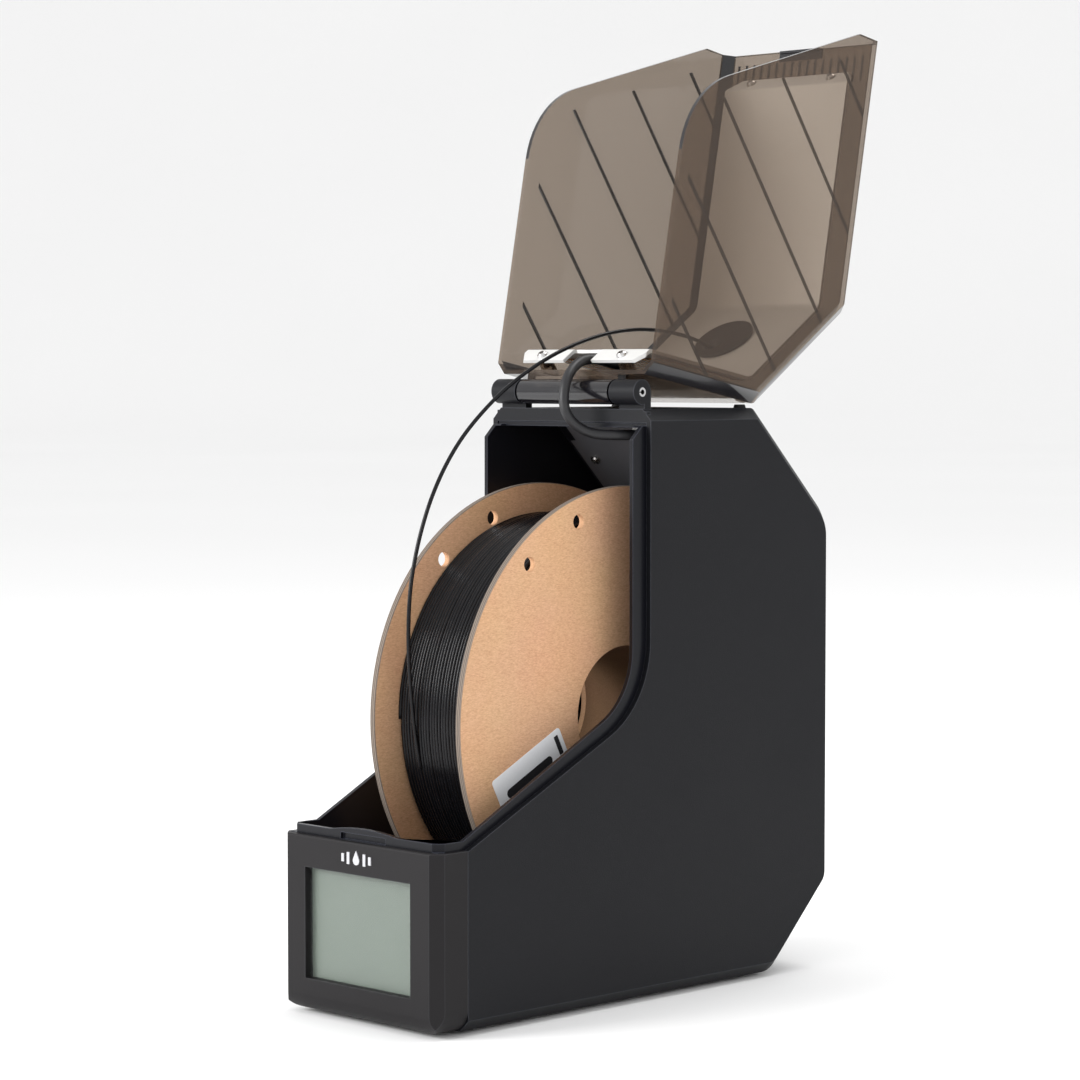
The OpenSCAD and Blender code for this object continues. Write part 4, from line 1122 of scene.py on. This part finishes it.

# %% [markdown]
# ## Dark edges of the lid
# Clear plastic looks darkest at its cut edges, along its ribs and in thick lumps, because light
# runs a long way inside it there, and because their curved faces bend light away from the eye.
# Those faces of the lid get a nearly opaque dark finish: the cut rim, the beads on both cheeks,
# the grip ribs and the hinge barrel. Its darkness is partly the dye in thick plastic and partly
# painted shade for the bent light. They're found with the lid turned back to its shut place, where
# its walls lie along the axes.

# %% Find the thick faces
shut_angle = next(joint["range_deg"][1] for joint in frame["joints"]
                  if joint["name"] == "lid_hinge")
lid_turn = Matrix.Rotation(math.radians(shut_angle), 4, "X")
cheek_wall, bead_height = 1.9 * MM, 1.3 * MM
grip_from, grip_to, grip_top = 1.95 * MM, 2.6 * MM, 20 * MM
end_depth, barrel_reach, slack, bead_root = 0.4 * MM, 6.2 * MM, 0.1 * MM, 0.03 * MM
lid_mesh = pieces["smoked_lid"].data
lid_mesh.materials.append(smoked_edge)
cheek = max(vertex.co.x for vertex in lid_mesh.vertices)
inner_cheek = cheek - cheek_wall
shut_points = [hinge_at + lid_turn @ (vertex.co - hinge_at) for vertex in lid_mesh.vertices]
lowest = min(point.z for point in shut_points)
foremost = min(point.y for point in shut_points)
dark_faces = 0
for polygon in lid_mesh.polygons:
    centre = hinge_at + lid_turn @ (polygon.center - hinge_at)
    normal = lid_turn @ polygon.normal
    across = abs(centre.x)
    from_hinge = math.hypot(centre.y - hinge_at.y, centre.z - hinge_at.z)
    on_rim = across > inner_cheek - slack and abs(normal.x) < 0.5
    on_bead = inner_cheek - bead_height < across < inner_cheek - bead_root
    on_end = centre.z < lowest + end_depth
    on_grip = (foremost + grip_from < centre.y < foremost + grip_to
               and centre.z < lowest + grip_top)
    if on_rim or on_bead or on_end or on_grip or from_hinge < barrel_reach:
        polygon.material_index = 1
        dark_faces += 1
print("dark faces", dark_faces, "of", len(lid_mesh.polygons))

# %% [markdown]
# ## Filament on the spool
# The winding is one strand laid in a long screw line round the core, turn against turn.
# Modelling the turns matters, because each one throws its own thin highlight. The upper
# layer is a true screw line of round strand with small slips to the side. Part of one more
# layer lies on it, and ends where the strand leaves the spool. A plain dark drum closes
# the space beneath them.

# %% Turns of the winding
wound_low, wound_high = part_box("filament_winding")
wound_radius = (wound_high.z - wound_low.z) / 2
strand_radius = strand_width / 2
turn_pitch = 2.02 * strand_radius
strand_leaves_at = -11 * MM


def screw_line(radius, x_start, x_end, slip, steps=150):
    """Points of a strand wound round the spool's axis from one X to another.

    It slips sideways by up to slip, and rises and falls a little, in waves that don't
    repeat from turn to turn."""
    slow, slower, start, rise = 0.37, 0.113, 1.3, 0.71
    count = abs(x_end - x_start) / turn_pitch
    hand = 1 if x_end > x_start else -1
    line = []
    for i in range(int(count * steps) + 1):
        turn = 2 * math.pi * i / steps
        x = x_start + hand * turn_pitch * i / steps
        x += slip * math.sin(turn * slow + start) * math.sin(turn * slower)
        swell = 0.12 * strand_radius * math.sin(turn * rise)
        reach = radius + swell
        line.append(Vector((x, spool_at.y - reach * math.cos(turn),
                            spool_at.z + reach * math.sin(turn))))
    return line


first_layer = screw_line(wound_radius - strand_radius * 1.15, wound_low.x + strand_radius,
                         wound_high.x - strand_radius, 0.03 * MM)
last_layer = screw_line(wound_radius + strand_radius * 0.62, wound_high.x - strand_radius * 1.6,
                        strand_leaves_at, 0.05 * MM)
turns = swept_tube("wound_turns", first_layer, strand_radius, 10)
last_turns = swept_tube("last_turns", last_layer, strand_radius, 10)
print("turns", len(turns.data.polygons) + len(last_turns.data.polygons), "faces")


# %% Drum under the turns
def drum(name, radius, x_low, x_high, bore):
    """A hollow drum round the spool's axis with rounded shoulders."""
    shell = bmesh.new()
    step = 0.6 * MM
    outline = [(x_low, bore), (x_low, radius - step), (x_low + step, radius),
               (x_high - step, radius), (x_high, radius - step), (x_high, bore)]
    sides = 160
    rings = []
    for k in range(sides):
        turn = 2 * math.pi * k / sides
        rings.append([shell.verts.new((x, spool_at.y + r * math.cos(turn),
                                       spool_at.z + r * math.sin(turn))) for x, r in outline])
    for k in range(sides):
        ring, after = rings[k], rings[(k + 1) % sides]
        for j in range(len(outline)):
            nxt = (j + 1) % len(outline)
            shell.faces.new((ring[j], ring[nxt], after[nxt], after[j]))
    piece = new_piece(name, shell)
    piece.data.shade_smooth()
    piece.data.set_sharp_from_angle(angle=math.radians(35))
    return piece


core_low, core_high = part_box("spool_core")
core_radius = (core_high.z - core_low.z) / 2
under_turns = drum("under_turns", wound_radius - 1.7 * strand_radius, wound_low.x, wound_high.x,
                   core_radius)
for piece in (turns, last_turns, under_turns):
    piece.data.materials.append(black_filament)
    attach(piece, "spool")
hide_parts("filament_winding")
print("drum radius", round(wound_radius, 4))

# %% [markdown]
# ## Label on the flange
# A slip of paper with rounded corners, glued on askew. Its print is one long rounded bar
# and a short strip at one end, both a hair above the paper so that they never flicker.

# %% Label
label_low, label_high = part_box("spool_label")
label_middle = (label_low + label_high) / 2
label_tilt = math.radians(27)
label_long, label_wide, label_thick = 45 * MM, 14 * MM, 0.16 * MM
ink_thick, ink_sunk = 0.05 * MM, 0.01 * MM


def rounded_tile(name, long, wide, corner, thick, along, across, x_low):
    """A flat tile with rounded corners on the label's tilted plane."""
    shell = bmesh.new()
    outline = []
    corner_steps = 6
    for cy, cz, start in ((1, 1, 0), (-1, 1, 90), (-1, -1, 180), (1, -1, 270)):
        for k in range(corner_steps + 1):
            turn = math.radians(start + 90 / corner_steps * k)
            outline.append((cy * (long / 2 - corner) + corner * math.cos(turn) + along,
                            cz * (wide / 2 - corner) + corner * math.sin(turn) + across))
    lower, upper = [], []
    for a, b in outline:
        y = label_middle.y + a * math.cos(label_tilt) - b * math.sin(label_tilt)
        z = label_middle.z + a * math.sin(label_tilt) + b * math.cos(label_tilt)
        lower.append(shell.verts.new((x_low, y, z)))
        upper.append(shell.verts.new((x_low + thick, y, z)))
    shell.faces.new(upper)
    shell.faces.new(lower[::-1])
    for k in range(len(outline)):
        nxt = (k + 1) % len(outline)
        shell.faces.new((lower[k], lower[nxt], upper[nxt], upper[k]))
    return new_piece(name, shell)


ink_x = label_low.x + label_thick - ink_sunk
label = rounded_tile("label", label_long, label_wide, 1.5 * MM, label_thick, 0, 0, label_low.x)
label_bar = rounded_tile("label_bar", 30 * MM, 4.2 * MM, 2 * MM, ink_thick, -2 * MM, -3.2 * MM,
                         ink_x)
label_strip = rounded_tile("label_strip", 2.4 * MM, 9 * MM, 0.4 * MM, ink_thick, 19 * MM, 0,
                           ink_x)
label.data.materials.append(label_paper)
label_bar.data.materials.append(label_print)
label_strip.data.materials.append(label_print)
for piece in (label, label_bar, label_strip):
    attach(piece, "spool")
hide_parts("spool_label")
print("label at", tuple(round(v, 4) for v in label_middle))

# %% [markdown]
# ## Parts that keep their CAD shape
# Screws, axles, bearings, rollers, the pin and the boards already have their true edges,
# so they keep their meshes and only get a finish.

# %% Finishes of the other parts
finishes = (
    (bare_steel, ("base_screws", "body_plate_screws", "rail_screws", "lid_plate_screws")),
    (ground_steel, ("hinge_pin", "front_axle", "rear_axle", "bearing_front_left",
                    "bearing_front_right", "bearing_rear_left", "bearing_rear_right")),
    (roller_rubber, ("roller_front_left", "roller_front_right", "roller_rear_left",
                     "roller_rear_right")),
    (mark_plastic, ("fascia_mark",)),
    (clear_lens, ("display_lens",)),
    (display_face, ("display_panel",)),
    (board_mask, ("control_board", "power_board")),
    (heating_film, ("body_heater_film", "lid_heater_film")),
    (jacket_rubber, ("port_grommet",)),
)
finished = 0
for material, parts in finishes:
    for part in parts:
        only_finish(frame["nodes"][part].data, material)
        finished += 1
print("finished", finished, "parts")
